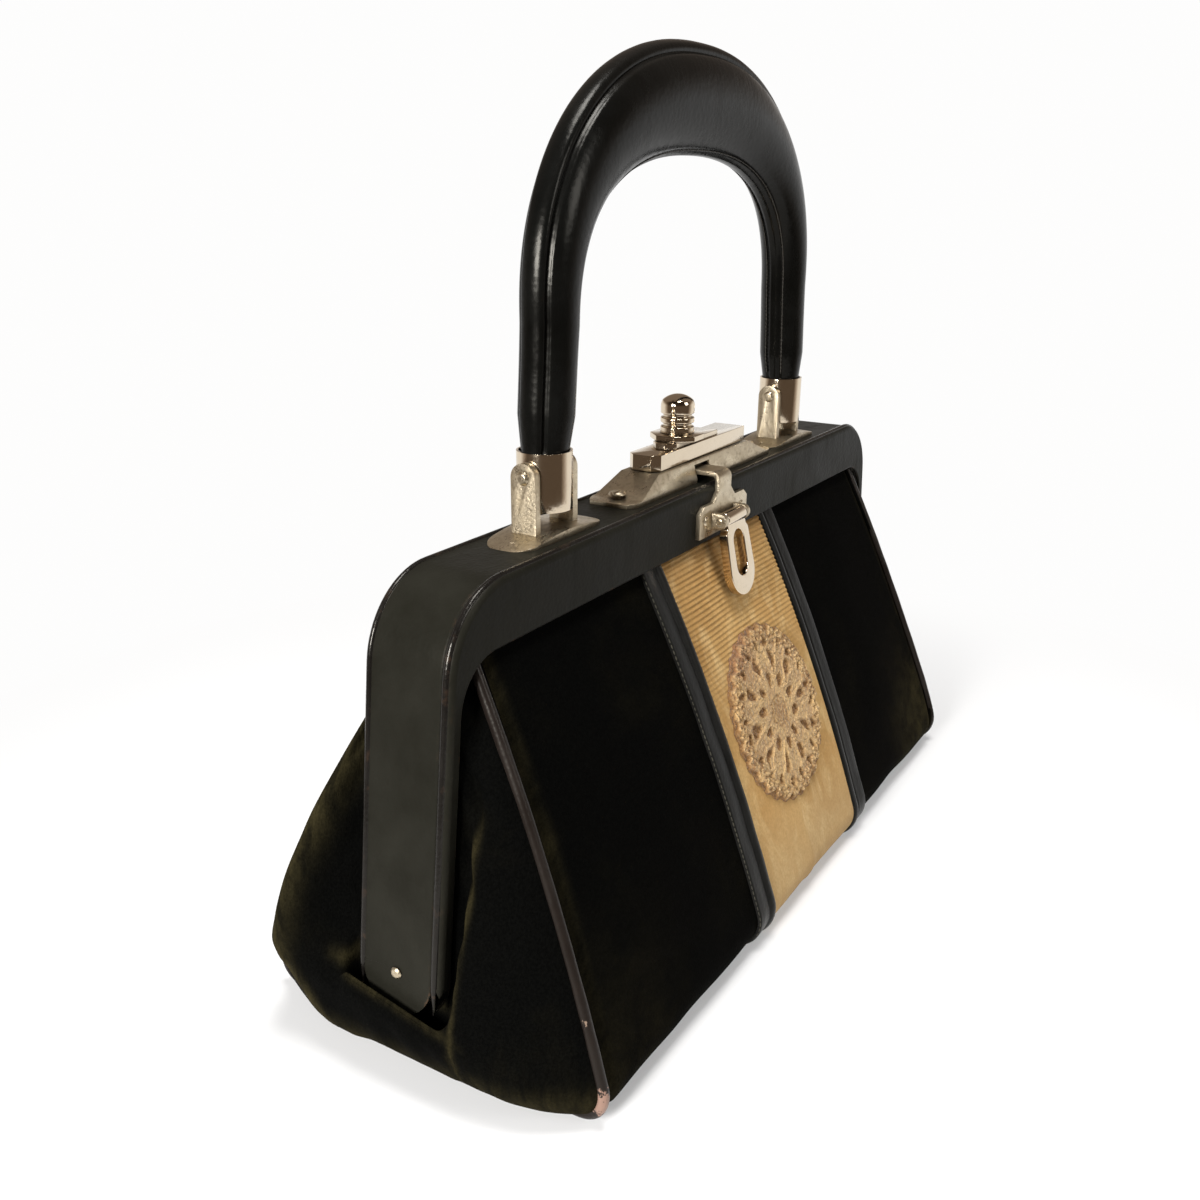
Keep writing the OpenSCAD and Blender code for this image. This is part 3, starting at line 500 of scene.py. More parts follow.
# Materials
class Nodes:
    """Adds nodes to a tree and links them."""

    def __init__(self, owner):
        owner.use_nodes = True
        self.tree = owner.node_tree
        self.tree.nodes.clear()

    def link(self, a, b):
        self.tree.links.new(a, b)

    def node(self, kind, **values):
        new = self.tree.nodes.new("ShaderNode" + kind)
        for key, value in values.items():
            setattr(new, key, value)
        return new

    def put(self, socket, value):
        if isinstance(value, bpy.types.NodeSocket):
            self.link(value, socket)
        elif hasattr(value, "__len__") and len(value) == 3 and socket.type == "RGBA":
            socket.default_value = (*value, 1.0)
        else:
            socket.default_value = value

    def made(self, out, kind, inputs, **values):
        """The output of a new node whose inputs, by name or number, are given."""
        new = self.node(kind, **values)
        for key, value in inputs.items():
            self.put(new.inputs[key], value)
        return new.outputs[out]

    def place(self, source="Object", scale=(1, 1, 1), turn=(0, 0, 0), shift=(0, 0, 0)):
        """Coordinates of the piece, scaled, turned and moved."""
        where = self.node("TexCoord").outputs[source]
        inputs = {"Vector": where, "Scale": scale, "Rotation": turn, "Location": shift}
        return self.made("Vector", "Mapping", inputs)

    def grain(self, where, scale, detail=4.0, roughness=0.5, distortion=0.0):
        inputs = {"Scale": scale, "Detail": detail, "Roughness": roughness, "Distortion": distortion}
        return self.made("Fac", "TexNoise", {"Vector": where, **inputs})

    def cells(self, where, scale):
        return self.made("Distance", "TexVoronoi", {"Vector": where, "Scale": scale}, feature="F1")

    def attribute(self, name):
        return self.node("Attribute", attribute_name=name).outputs["Fac"]

    def ramp(self, value, *stops):
        """Greys at places from 0 to 1."""
        n = self.node("ValToRGB")
        elements = n.color_ramp.elements
        for element, (position, shade) in zip(elements, stops):
            element.position = position
            element.color = (shade, shade, shade, 1)
        self.link(value, n.inputs["Fac"])
        return n.outputs["Color"]

    def map(self, value, low, high, to_low=0.0, to_high=1.0, **kind):
        inputs = {"Value": value, "From Min": low, "From Max": high, "To Min": to_low, "To Max": to_high}
        return self.made("Result", "MapRange", inputs, **kind)

    def math(self, operation, a, b=0.5, clamp=False):
        return self.made("Value", "Math", {0: a, 1: b}, operation=operation, use_clamp=clamp)

    def times(self, a, b, clamp=False):
        return self.math("MULTIPLY", a, b, clamp)

    def vectors(self, operation, a, b):
        return self.made("Value", "VectorMath", {0: a, 1: b}, operation=operation)

    def mix(self, share, a, b):
        return self.made("Color", "MixRGB", {"Fac": share, "Color1": a, "Color2": b}, blend_type="MIX")

    def layered(self, ground, *layers):
        """A colour with others laid over it, each as (share, colour)."""
        for share, shade in layers:
            ground = self.mix(share, ground, shade)
        return ground

    def bump(self, height, depth, strength=1.0, under=None):
        """Turns a height from 0 to 1 into a bump of a real depth in metres."""
        inputs = {"Height": height, "Distance": depth, "Strength": strength}
        if under is not None:
            inputs["Normal"] = under
        return self.made("Normal", "Bump", inputs)

    def edge_wear(self, width=0.0011):
        """1 on sharp outer edges, from how far a rounded normal strays from the true one."""
        rounded = self.made("Normal", "Bevel", {"Radius": width}, samples=4)
        true = self.node("NewGeometry").outputs["Normal"]
        return self.map(self.vectors("DOT_PRODUCT", rounded, true), 0.99, 0.86)

    def seen_rays(self):
        """1 for rays that the camera, gloss or glass sends out, so that they meet the pale background."""
        rays = self.node("LightPath").outputs
        first = self.math("ADD", rays["Is Camera Ray"], rays["Is Glossy Ray"], True)
        return self.math("ADD", first, rays["Is Transmission Ray"], True)

    def show(self, share, first, second, output):
        """Mixes two shaders into the tree's output."""
        mixed = self.made("Shader", "MixShader", {"Fac": share, 1: first, 2: second})
        self.link(mixed, self.node(output).inputs["Surface"])


class Shader(Nodes):
    """Builds one material of the bag."""

    SOCKETS = {
        "colour": "Base Color", "rough": "Roughness", "metal": "Metallic", "normal": "Normal",
        "sheen": "Sheen Weight", "sheen_rough": "Sheen Roughness", "sheen_tint": "Sheen Tint",
        "specular": "Specular IOR Level", "specular_tint": "Specular Tint",
    }

    def __init__(self, name):
        self.material = bpy.data.materials.new(name)
        super().__init__(self.material)
        self.surface = self.node("BsdfPrincipled")
        self.link(self.surface.outputs["BSDF"], self.node("OutputMaterial").inputs["Surface"])

    def set(self, **values):
        for key, value in values.items():
            self.put(self.surface.inputs[self.SOCKETS[key]], value)
        return self.material


def darker(shade, share):
    return tuple(c * share for c in shade)


def velvet_material():
    """Near-black olive velvet with a brushed pile, painted lighter where it is bent or worn: a painted
    highlight on its crests from the lit attribute, partly rubbed pile, and random dust.
    """
    tint = settings("colours")
    s = Shader("velvet")
    where = s.place()
    pile = s.grain(where, 1500, 3)
    brushed = s.grain(s.place(scale=(90, 260, 70), turn=(0.5, 0, 0)), 1.0, 5, 0.62, 0.5)
    blotch = s.grain(where, 30, 5, 0.6, 0.4)
    streak = s.map(brushed, 0.36, 0.62, 0.25, 1.0)
    # Painted highlight where the pile would catch light, from the lit attribute, partly rubbed pile; dusty is
    # random dust
    ridge = s.times(s.times(s.attribute("lit"), streak), s.map(blotch, 0.3, 0.6, 0.45, 1.0))
    dusty = s.times(s.ramp(blotch, (0.5, 0.0), (0.75, 1.0)), streak)
    lift = s.math("ADD", ridge, s.times(dusty, 0.07), True)
    lift = s.times(lift, s.map(pile, 0.3, 0.7, 0.6, 1.0), True)
    ground = s.mix(s.map(pile, 0.35, 0.65), darker(tint.velvet, 0.5), tint.velvet)
    bump = s.bump(s.grain(s.place(scale=(1, 1, 0.45)), 2600, 2), 0.00022, 0.8)
    bump = s.bump(brushed, 0.0007, 0.35, bump)
    return s.set(
        colour=s.mix(lift, ground, tint.velvet_sheen_and_wear), rough=0.95, normal=bump, specular=0.02,
        sheen=0.02, sheen_rough=0.3, sheen_tint=srgb(130, 108, 70),
    )


def ribbed_material():
    """Tan ribbed velvet: fine ribs near the top that wear smooth and pale lower down."""
    tint = settings("colours")
    s = Shader("ribbed_velvet")
    where = s.place()
    split = s.node("SeparateXYZ")
    s.link(where, split.inputs["Vector"])
    x, z = split.outputs["X"], split.outputs["Z"]
    height = s.times(s.map(z, 0.056, 0.092, 0.03, 1.0), s.map(x, -0.010, 0.026, 1.0, 0.4))
    broken = s.map(s.grain(where, 95, 4, 0.6), 0.38, 0.6, 0.15, 1.0)
    # The rib attribute is 1 between the ribs, where shade is painted with ribbed_dark
    ribs = s.times(s.times(s.attribute("rib"), height), broken)
    fuzz = s.grain(where, 1100, 3, 0.6)
    patch = s.grain(where, 32, 4, 0.55, 0.5)
    streaks = s.grain(s.place(scale=(95, 70, 48)), 1.0, 5, 0.62, 1.2)
    colour_out = s.layered(
        s.mix(s.times(ribs, 0.7), tint.ribbed, tint.ribbed_dark),
        (s.ramp(patch, (0.4, 0.0), (0.66, 0.7)), srgb(160, 118, 64)),
        (s.ramp(streaks, (0.46, 0.0), (0.7, 0.55)), srgb(218, 190, 138)),
        # Darker towards the top: painted shade under the flange's edge, with grime
        (s.map(z, 0.1, 0.111, 0.0, 0.55), srgb(104, 68, 34)),
        (s.map(z, 0.035, 0.015, 0.0, 0.45), srgb(158, 138, 104)),
        # Painted shade where the stripe turns under to the floor
        (s.map(z, 0.012, 0.0, 0.0, 0.5), srgb(120, 94, 60)),
        (s.map(fuzz, 0.3, 0.7, 0.0, 0.35), srgb(126, 96, 54)),
    )
    bump = s.bump(fuzz, 0.0002, 0.6, s.bump(ribs, -0.0003, 0.6))
    return s.set(
        colour=colour_out, rough=0.9, normal=bump, specular=0.15, sheen=0.25, sheen_rough=0.4,
        sheen_tint=srgb(230, 205, 160),
    )


def applique_material():
    """Tan looped pile, with painted shade between its threads and in its recesses, and one darker patch."""
    tint = settings("colours")
    s = Shader("applique")
    where = s.place()
    loops = s.cells(where, 820)
    fray = s.cells(where, 1900)
    # Painted shade: darker between the thread loops, less on the smooth web
    shade = s.times(s.ramp(loops, (0.25, 1.0), (0.75, 0.1)), s.ramp(fray, (0.3, 1.0), (0.8, 0.6)))
    shade = s.math("MAXIMUM", shade, s.times(s.attribute("web"), 0.7))
    away = s.vectors("DISTANCE", where, (-0.013, -0.027, 0.081))
    colour_out = s.layered(
        s.mix(shade, tint.applique_dark, tint.applique),
        (s.ramp(s.grain(where, 150, 4), (0.42, 0.0), (0.66, 0.5)), srgb(206, 172, 118)),
        # Painted shade in the openwork's recesses, from the depth attribute
        (s.ramp(s.attribute("depth"), (0.35, 0.0), (0.95, 0.9)), srgb(130, 94, 56)),
        # One darker, redder patch up on the applique's left
        (s.map(away, 0.005, 0.016, 0.45, 0.0), srgb(140, 100, 74)),
    )
    bump = s.bump(fray, -0.0003, 0.8, s.bump(loops, -0.0007, 1.0))
    return s.set(colour=colour_out, rough=0.95, normal=bump, specular=0.05, sheen=0.15, sheen_rough=0.5)


def leather_material(name, ground, worn, rough=0.42, pore_scale=900, depth=0.00007, wear=0.3, shine=0.05,
                     scuff=0.35, spots=()):
    """Dyed leather: fine pores, cloudy colour, brown wear along its edges, and worn spots."""
    s = Shader(name)
    where = s.place()
    cloud = s.grain(where, 38, 5, 0.6, 0.3)
    scratches = s.grain(s.place(scale=(220, 220, 30)), 1.0, 4, 0.7)
    edge = s.edge_wear()
    rubbed = s.map(edge, 0.1, 0.8, 0.0, 0.2)
    chips = s.ramp(s.grain(where, 150, 5, 0.7), (0.55, 0.0), (0.64, 1.0))
    lighter = tuple(min(1.0, c * 1.9 + 0.004) for c in ground)
    colour_out = s.layered(
        s.mix(s.ramp(cloud, (0.35, 0.0), (0.75, 0.6)), ground, lighter),
        (s.times(s.times(edge, chips), wear, True), worn),
    )
    for middle, reach, bare in spots:
        torn = s.map(s.grain(where, 900, 3, 0.6), 0.3, 0.7, -0.6 * reach, 0.6 * reach)
        away = s.math("ADD", s.vectors("DISTANCE", where, middle), torn)
        colour_out = s.mix(s.map(away, reach, reach * 0.8, 0.0, 0.9), colour_out, bare)
    scuffed = s.times(s.ramp(scratches, (0.5, 0.0), (0.7, 1.0)), scuff * 0.25)
    gloss = s.math("ADD", s.map(cloud, 0.3, 0.7, rough - 0.06, rough + 0.08), scuffed)
    gloss = s.math("SUBTRACT", gloss, rubbed)
    bump = s.bump(s.cells(where, pore_scale), depth, 0.6)
    bump = s.bump(s.grain(where, 120, 4), depth * 6, 0.25, bump)
    return s.set(
        colour=colour_out, rough=gloss, normal=bump, specular=shine, specular_tint=(1.0, 0.95, 0.85)
    )


def metal_material(name, shade, rough, tarnish=0.35, brushed=True):
    """Old nickel plate: satin scratches, small pits, dull patches, and brown tarnish in its corners."""
    s = Shader(name)
    where = s.place()
    cloud = s.grain(where, 110, 6, 0.65, 0.5)
    fine = s.grain(s.place(scale=(500, 2600, 2600)), 1.0, 3) if brushed else s.grain(where, 1400, 3)
    pits = s.ramp(s.grain(where, 620, 4, 0.6), (0.52, 0.0), (0.7, 1.0))
    dull = s.ramp(cloud, (0.40, 0.0), (0.68, 1.0))
    corner = s.made("AO", "AmbientOcclusion", {"Distance": 0.0035}, samples=6)
    grime = s.map(corner, 0.75, 0.25, 0.0, 0.9)
    colour_out = s.layered(
        shade, (s.times(dull, tarnish), srgb(140, 122, 92)), (s.times(pits, tarnish * 0.8), srgb(96, 76, 50)),
        (grime, srgb(58, 44, 28)),
    )
    gloss = s.math("ADD", s.map(fine, 0.3, 0.7, rough * 0.75, rough * 1.25), s.times(dull, tarnish * 0.3))
    gloss = s.math("ADD", gloss, s.times(grime, 0.3), True)
    bump = s.bump(cloud, 0.0003, 0.10 + tarnish * 0.4, s.bump(fine, 0.00002, 0.5))
    bump = s.bump(pits, -0.00006, tarnish, bump)
    return s.set(colour=colour_out, rough=gloss, metal=1.0, normal=bump)


def thread_material(name, shade):
    """Twisted sewing thread."""
    s = Shader(name)
    twist = s.grain(s.place(), 2200, 2)
    colour_out = s.mix(s.map(twist, 0.3, 0.7), darker(shade, 0.5), shade)
    return s.set(colour=colour_out, rough=0.7, specular=0.3, normal=s.bump(twist, 0.0001, 0.6))


def lining_material():
    """Plain woven cotton."""
    cotton = settings("colours").lining
    s = Shader("lining")
    where = s.place()
    warp, weft = (
        s.made("Fac", "TexWave", {"Scale": 420, "Vector": where}, bands_direction=way) for way in "XZ"
    )
    weave = s.times(warp, weft)
    stain = s.ramp(s.grain(where, 20, 5), (0.4, 0.0), (0.75, 0.5))
    colour_out = s.mix(stain, cotton, darker(cotton, 0.55))
    colour_out = s.mix(s.times(weave, 0.3), colour_out, darker(cotton, 0.6))
    return s.set(colour=colour_out, rough=0.85, specular=0.2, normal=s.bump(weave, 0.0002, 0.6))


MATERIALS = {}


def material(name):
    """Makes each finish once."""
    tint = settings("colours")
    leather, metal = leather_material, metal_material
    makers = {
        "velvet": velvet_material,
        "ribbed": ribbed_material,
        "applique": applique_material,
        "lining": lining_material,
        "leather": lambda: leather("frame_leather", tint.leather, tint.worn, wear=0.9),
        "strip": lambda: leather(
            "strip_leather", srgb(12, 12, 11), srgb(60, 54, 46), 0.36, wear=0.2, shine=0.12
        ),
        "bead": lambda: leather(
            "bead_leather", srgb(16, 14, 12), tint.worn, 0.24, wear=0.9, shine=0.25, spots=EDGE_SPOTS
        ),
        "piping": lambda: leather(
            "piping_leather", srgb(22, 17, 14), tint.worn, 0.3, wear=0.2, shine=0.18, spots=PIPING_SPOTS
        ),
        "handle": lambda: leather(
            "handle_leather", tint.handle, tint.worn, 0.21, 700, 0.00005, 0.3, 0.13, 0.4, HANDLE_SPOTS
        ),
        "board": lambda: leather("board", srgb(140, 116, 84), srgb(150, 130, 100), 0.8, wear=0),
        "nickel": lambda: metal("nickel", tint.nickel, 0.30, 0.45),
        "polished": lambda: metal("polished_nickel", tint.polished, 0.09, 0.06, False),
        "steel": lambda: metal("steel", srgb(150, 148, 142), 0.4, 0.2),
        "thread": lambda: thread_material("thread", tint.thread),
        "pale_thread": lambda: thread_material("pale_thread", srgb(74, 70, 58)),
    }
    if name not in MATERIALS:
        MATERIALS[name] = makers[name]()
    return MATERIALS[name]


def stitches(name, places):
    """A row of stitches. Each place is (point, along, out). One stitch is modelled and copied."""
    half_l, half_w = STITCH
    deselect()
    bpy.ops.mesh.primitive_uv_sphere_add(segments=6, ring_count=4, radius=1)
    row = named(name)
    for vertex in row.data.vertices:
        vertex.co = Vector((vertex.co.x * half_l, vertex.co.y * half_w, vertex.co.z * half_w * 0.8))
    work = bmesh.new()
    for point, along, out in places:
        along = along.normalized()
        across = out.cross(along).normalized()
        turn = Matrix((along, across, along.cross(across))).transposed().to_4x4()
        start = len(work.verts)
        work.from_mesh(row.data)
        work.verts.ensure_lookup_table()
        bmesh.ops.transform(work, matrix=Matrix.Translation(point) @ turn, verts=work.verts[start:])
    work.to_mesh(row.data)
    work.free()
    smooth(row, 60)
    return row


# Pieces of the body
class HANDBAG_OT_walls(bpy.types.Operator):
    """The front and rear velvet panels, the ribbed stripes and the leather strips."""

    bl_idname = "handbag.walls"
    bl_label = "Walls"

    def execute(self, context):
        for side, end in ENDS:
            wall = Wall(side)
            for hand, tag in HANDS:
                self.panel(wall, hand, f"{end}_velvet_{tag}", f"{end}_panel_{tag}")
                self.strip(wall, hand, f"{end}_strip_{tag}", f"{end}_band_{tag}")
            self.stripe(wall, f"{end}_stripe", f"{end}_centre_stripe")
        return {"FINISHED"}

    def panel(self, wall, hand, node, name):
        """Velvet between a leather strip and the piping, a little swollen and crumpled."""
        body = settings("body_sizes")
        inner = body.stripe_half + body.strip_w - STRIP_LAP
        most_swell, most_wave, most_crumple = 0.0014, 0.0007, 0.0006

        def place(u, v):
            y, z = wall.at(wall.run * v)
            outer = side_x(z, hand) - 0.0004
            x = inner + (outer - inner) * u
            hump = sin(pi * u)
            puff = most_swell * sin(pi * ease(u, 0, 1)) * sin(pi * min(1, v * 1.02))
            puff += most_wave * wave((x, y, z), 0.03, 3 + hand) * hump
            puff += most_crumple * wave((x * 0.6, y, z * 1.4), 0.014, 9) * ease(v, 0.45, 0.95) * hump
            puff -= SEAM_DIP * (1 - ease(outer - x, 0, SEAM_W))
            y, z = wall.at(wall.run * v, puff)
            return (hand * x, y, max(z, 0.0002))

        def lit(u, v):
            """Painted highlight on the pile, partly rubbed pile: the lower outer corner, most on the right,
            and a thin line along the floor.
            """
            corner = ease(u, 0.35, 0.95) * ease(v, 0.45, 0.9) * (1.0 if hand * wall.side < 0 else 0.3)
            floor_line = 0.3 * ease(v, 0.86, 0.95)
            return max(corner, floor_line, 0.35 * ease(u, 0.93, 0.985))

        piece = grid(name, 56, 120, place, lit=lit)
        cloth(piece, wall.out, body.velvet_t, "velvet", "velvet", [node], wall.bend)

    def strip(self, wall, hand, node, name):
        """A leather strip with a turned edge on the velvet side and a folded rib on the stripe side."""
        body = settings("body_sizes")
        inner = body.stripe_half
        outer = inner + body.strip_w
        lift, rib_height, rib_share = 0.0010, 0.0006, 0.36

        def place(u, v):
            s = wall.run * v
            x = inner + (outer - inner) * u
            crown = lift + (rib_height * sin(pi * u / rib_share) if u < rib_share else 0)
            crown += 0.0002 * ease(u, 0.5, 0.8) - lift * ease(u, 0.95, 1.0) - lift * (1 - ease(u, 0, 0.05))
            crown -= 0.0003 * exp(-((u - 0.38) / 0.05) ** 2)
            crown += 0.0002 * wave((x, 0, s), 0.011, 5 + hand)
            y, z = wall.at(s, crown)
            return (hand * x, y, max(z, -0.0001))

        cloth(grid(name, 30, 110, place), wall.out, STRIP_T, "strip", "strip_leather", [node], wall.bend)
        places = []
        for i in range(int((wall.run - 0.010) / STITCH_PITCH)):
            s = 0.004 + STITCH_PITCH * (i + 0.5)
            y0, z0 = wall.at(s - 0.0005, 0.0008)
            y1, z1 = wall.at(s + 0.0005, 0.0008)
            out = Vector((0, -(z1 - z0), y1 - y0))
            if out.y * wall.side < 0:
                out = -out
            middle = Vector((hand * (outer - 0.0004), (y0 + y1) / 2, (z0 + z1) / 2))
            places.append((middle, Vector((0, y1 - y0, z1 - z0)), out.normalized()))
        dress(stitches(name + "_stitching", places), "pale_thread", "strip_leather", bend=wall.bend)

    def stripe(self, wall, node, name):
        """Ribbed velvet: fine ribs across, deepest near the top, worn smooth near the floor."""
        body = settings("body_sizes")
        half = body.stripe_half + STRIPE_LAP
        most_rib, most_wave, most_crease = 0.00016, 0.0007, 0.0005

        def phase(x, s):
            return tau * ((s + 0.0006 * wave((x, 0, s), 0.03, 2)) / RIB)

        def place(u, v):
            s = wall.run * v
            x = -half + 2 * half * u
            y, z = wall.at(s)
            lift = 0.0007 + most_rib * ease(z, 0.058, 0.092) * cos(phase(x, s))
            lift += most_wave * wave((x, y, z), 0.035, 6) * sin(pi * u)
            fold = exp(-((x + 0.004 + 0.05 * (z - 0.02)) / 0.0022) ** 2)
            lift += most_crease * fold * ease(-z, -0.03, -0.012)
            y, z = wall.at(s, lift)
            return (x, y, max(z, 0.0001))

        # 1 between the ribs, where the material paints shade
        def between(u, v):
            return 0.5 - 0.5 * cos(phase(-half + 2 * half * u, wall.run * v))

        piece = grid(name, 32, 520, place, rib=between)
        cloth(piece, wall.out, body.velvet_t, "ribbed", "ribbed_velvet", [node], wall.bend, 80)


class HANDBAG_OT_rosette(bpy.types.Operator):
    """The openwork applique: ten petals round a small wheel, a ring of eyelets and a scalloped border."""

    bl_idname = "handbag.rosette"
    bl_label = "Rosette"

    def execute(self, context):
        body = settings("body_sizes")
        wall = Wall(-1)
        middle = wall.down_to(body.rosette_z)
        petals, eyelets, scallops = 10, 20, 30
        hub = 0.012

        def relief(r, a):
            """Height from 0 to 1 at a share of the radius and an angle."""
            x, y = r * cos(a), r * sin(a)
            a += 0.10 * wave((x, y, 0), 0.16, 21) * ease(r, 0.1, 0.4)
            r += 0.035 * wave((x, y, 0), 0.13, 22) * (1 - ease(r, 0.72, 0.8))
            ragged = 0.010 * wave((x, y, 0), 0.045, 23)
            uneven = 0.02 * wave((cos(a), sin(a), 0), 0.12, 3)
            rim = 0.955 + 0.02 * cos(scallops * a) + uneven
            border = ease(r, 0.77, 0.80) * (1 - ease(r, rim - 0.02, rim + 0.01))
            nubs = border * (0.7 + 0.3 * cos(scallops * 2 * a) * cos((r - 0.89) * 60))
            slit = hypot((r - 0.79) / 1.5, r * remainder(a + 0.08, tau / eyelets))
            slits = ease(slit + ragged, 0.026, 0.050)
            fold = remainder(a, tau / petals)
            between = remainder(a + pi / petals, tau / petals)
            gap = hypot((r - 0.60) / 1.8, r * between) + ragged
            eye = hypot((r - 0.37) / 1.5, r * fold) + ragged
            web = ease(gap, 0.042, 0.068) * ease(eye, 0.036, 0.060) * (1 - ease(r, 0.80, 0.82))
            vein = 0.25 * exp(-((abs(fold) * r - 0.10) / 0.02) ** 2) * ease(r, 0.3, 0.4)
            web *= 1 - 0.35 * (1 - ease(abs(r - 0.16 + 2 * ragged), 0.012, 0.035))
            web *= 1 - 0.35 * (1 - ease(r, 0.10, 0.14))
            return max(nubs, web * (0.62 + vein)) * slits

        def polar(u, v):
            return hub + (1 - hub) * v, tau * u

        def place(u, v):
            r, a = polar(u, v)
            edge = body.rosette_r * (0.985 + 0.015 * cos(scallops * a))
            x, along = edge * r * sin(a), edge * r * cos(a)
            fine = 0.6 + 0.4 * wave((x, along, 0), 0.0005, 9)
            loops = 0.5 + 0.5 * wave((x, along, 0), 0.0009, 4) * fine
            h = relief(r, a) * (1 - ease(r, 0.97, 1.0))
            rough = 0.00045 + 0.0004 * ease(r, 0.76, 0.82)
            height = 0.00025 + 0.0012 * h + rough * loops * (0.35 + 0.65 * h) * (1 - ease(r, 0.985, 1.0))
            y, z = wall.at(middle - along, 0.0008 + height)
            return (x, y, z)

        # The depth attribute: where shade is painted in the recesses
        def sunk(u, v):
            return 1 - relief(*polar(u, v))

        def web(u, v):
            return relief(*polar(u, v)) * (1 - ease(polar(u, v)[0], 0.74, 0.80))

        piece = grid("rosette", 360, 116, place, depth=sunk, web=web)
        edit(piece)
        bpy.ops.mesh.remove_doubles(threshold=MERGED)
        leave_edit()
        centre = Vector((0, *wall.at(middle)))
        work = bmesh.new()
        work.from_mesh(piece.data)
        rims = [e for e in work.edges if e.is_boundary and (e.verts[0].co - centre).length < 0.004]
        bmesh.ops.contextual_create(work, geom=rims)
        work.to_mesh(piece.data)
        work.free()
        cloth(piece, wall.out, ROSETTE_T, "applique", "applique", ["medallion"], wall.bend, 70)
        return {"FINISHED"}


class HANDBAG_OT_sides(bpy.types.Operator):
    """The velvet gussets, which swell beside the legs and cup their lower ends."""

    bl_idname = "handbag.sides"
    bl_label = "Sides"

    def execute(self, context):
        self.walls = {side: Wall(side) for side, end in ENDS}
        for hand, tag in HANDS:
            for side, end in ENDS:
                self.half(hand, side, f"gusset_{tag}", end)
            self.pleat(hand, f"gusset_{tag}_pleat")
        return {"FINISHED"}

    def pleat(self, hand, name):
        """The fold between a gusset's halves, which on the bag spreads when the front frame opens; here it
        does not spread.
        """
        def place(u, v):
            z = 0.1045 - 0.0790 * v
            y = 0.0024 - 0.0048 * u
            x = leg_inside(z) - 0.0014 - 0.0030 * sin(pi * u) * ease(z, 0.026, 0.040)
            return (hand * x, y, z)

        cloth(grid(name, 20, 60, place), (hand, 0, 0), PLEAT_T, "velvet", "velvet", (), PLEAT_FOLD, 80)

    def crest(self, side, z):
        """How far from the middle the bulge stands out most."""
        edge = abs(self.walls[side].depth(z))
        if side > 0:
            return edge * (0.30 + 0.50 * ease(z, 0.002, 0.030))
        return min(edge * 0.78, 0.0192 + 0.008 * (1 - ease(z, 0.004, 0.020)))

    def outer(self, hand, side, y, z, out):
        """The bulge at a depth and height, where it stands out from the seam by out at its crest."""
        edge, crest = abs(self.walls[side].depth(z)), self.crest(side, z)
        y = min(abs(y), edge)
        if y > crest:
            return side_x(z, hand) + out * sin(pi / 2 * (edge - y) / (edge - crest)) ** 0.72
        hollow = ease(z, 0.023, 0.034) * (0.5 if side > 0 else 0.85) * (1 - ease(z, 0.085, 0.105))
        inside = ease((crest - y) / max(crest - 0.0142, 0.001), 0.0, 1.0)
        return side_x(z, hand) + out * (1 - hollow * inside)

    def half(self, hand, side, node, end):
        """Half a gusset: rings of points run down it, which dip in near the middle to hold the leg's end."""
        wall = self.walls[side]
        columns = {}
        pocket_half, pocket_rim = 0.0132, 0.0185

        def column(u):
            """The rings' points at a share of the way from the middle to the seam."""
            if u in columns:
                return columns[u]
            rings = columns[u] = []
            for level, out, (pocket_x, pocket_z) in zip(GUSSET_LEVELS, BULGES[side], LEG_POCKET):
                edge = wall.depth(level) - side * 0.0002
                y = edge * u ** 0.85
                room = max(0.009, abs(edge))
                free = Vector((self.outer(hand, side, y, level, out), y, level))
                lip = 0.2 * max(-0.014, min(0.016, y)) if 0.018 < pocket_z < 0.03 and pocket_x else 0
                held = Vector((pocket_x or leg_inside(pocket_z), y, pocket_z + lip))
                near = 1 - ease(abs(y), min(pocket_half, room - 0.0085), min(pocket_rim, room - 0.0035))
                rings.append(free.lerp(held, near))
            return rings

        def place(u, v):
            point = along(column(u), v)
            cloth_wave = 0.0010 * wave((0, point.y, point.z), 0.017, 11 * hand)
            cloth_wave += 0.0007 * wave((point.x, point.y * 1.3, point.z * 0.5), 0.008, 5)
            raised = ease(point.z, 0.001, 0.006)
            free = sin(pi * min(1, u * 1.02)) * raised * ease(abs(point.y), 0.010, 0.02)
            low = raised * ease(0.021 - point.z, 0.0, 0.006) * (1 - u)
            point.x += cloth_wave * max(free, low)
            return (hand * point.x, point.y, max(point.z, 0.0001))

        def lit(u, v):
            """Painted highlight on the pile, partly rubbed pile: the crests, the lip under the leg and the
            lower edge.
            """
            point = along(column(u), v)
            y, z = abs(point.y), point.z
            edge, crest = abs(wall.depth(z)), self.crest(side, z)
            if side > 0:
                far = y - crest - 0.2 * (edge - crest)
                ridge = exp(-(far / 0.0045) ** 2) * (1 - ease(z, 0.07, 0.104))
            else:
                ridge = 0.8 * exp(-((y - 0.0190) / 0.0011) ** 2) * (1 - ease(z, 0.064, 0.078))
            lip = 0.6 * exp(-((z - 0.0250 - 0.2 * point.y) / 0.0014) ** 2) * (1 - ease(y, 0.016, 0.024))
            low = 0.6 * (1 - ease(z, 0.004, 0.015))
            return min(1.0, max(ridge, lip, low))

        piece = grid(f"{node}_{end}", 66, 130, place, lit=lit)
        cloth(piece, (hand, 0, 0), GUSSET_T, "velvet", "velvet", [node], wall.bend, 80)


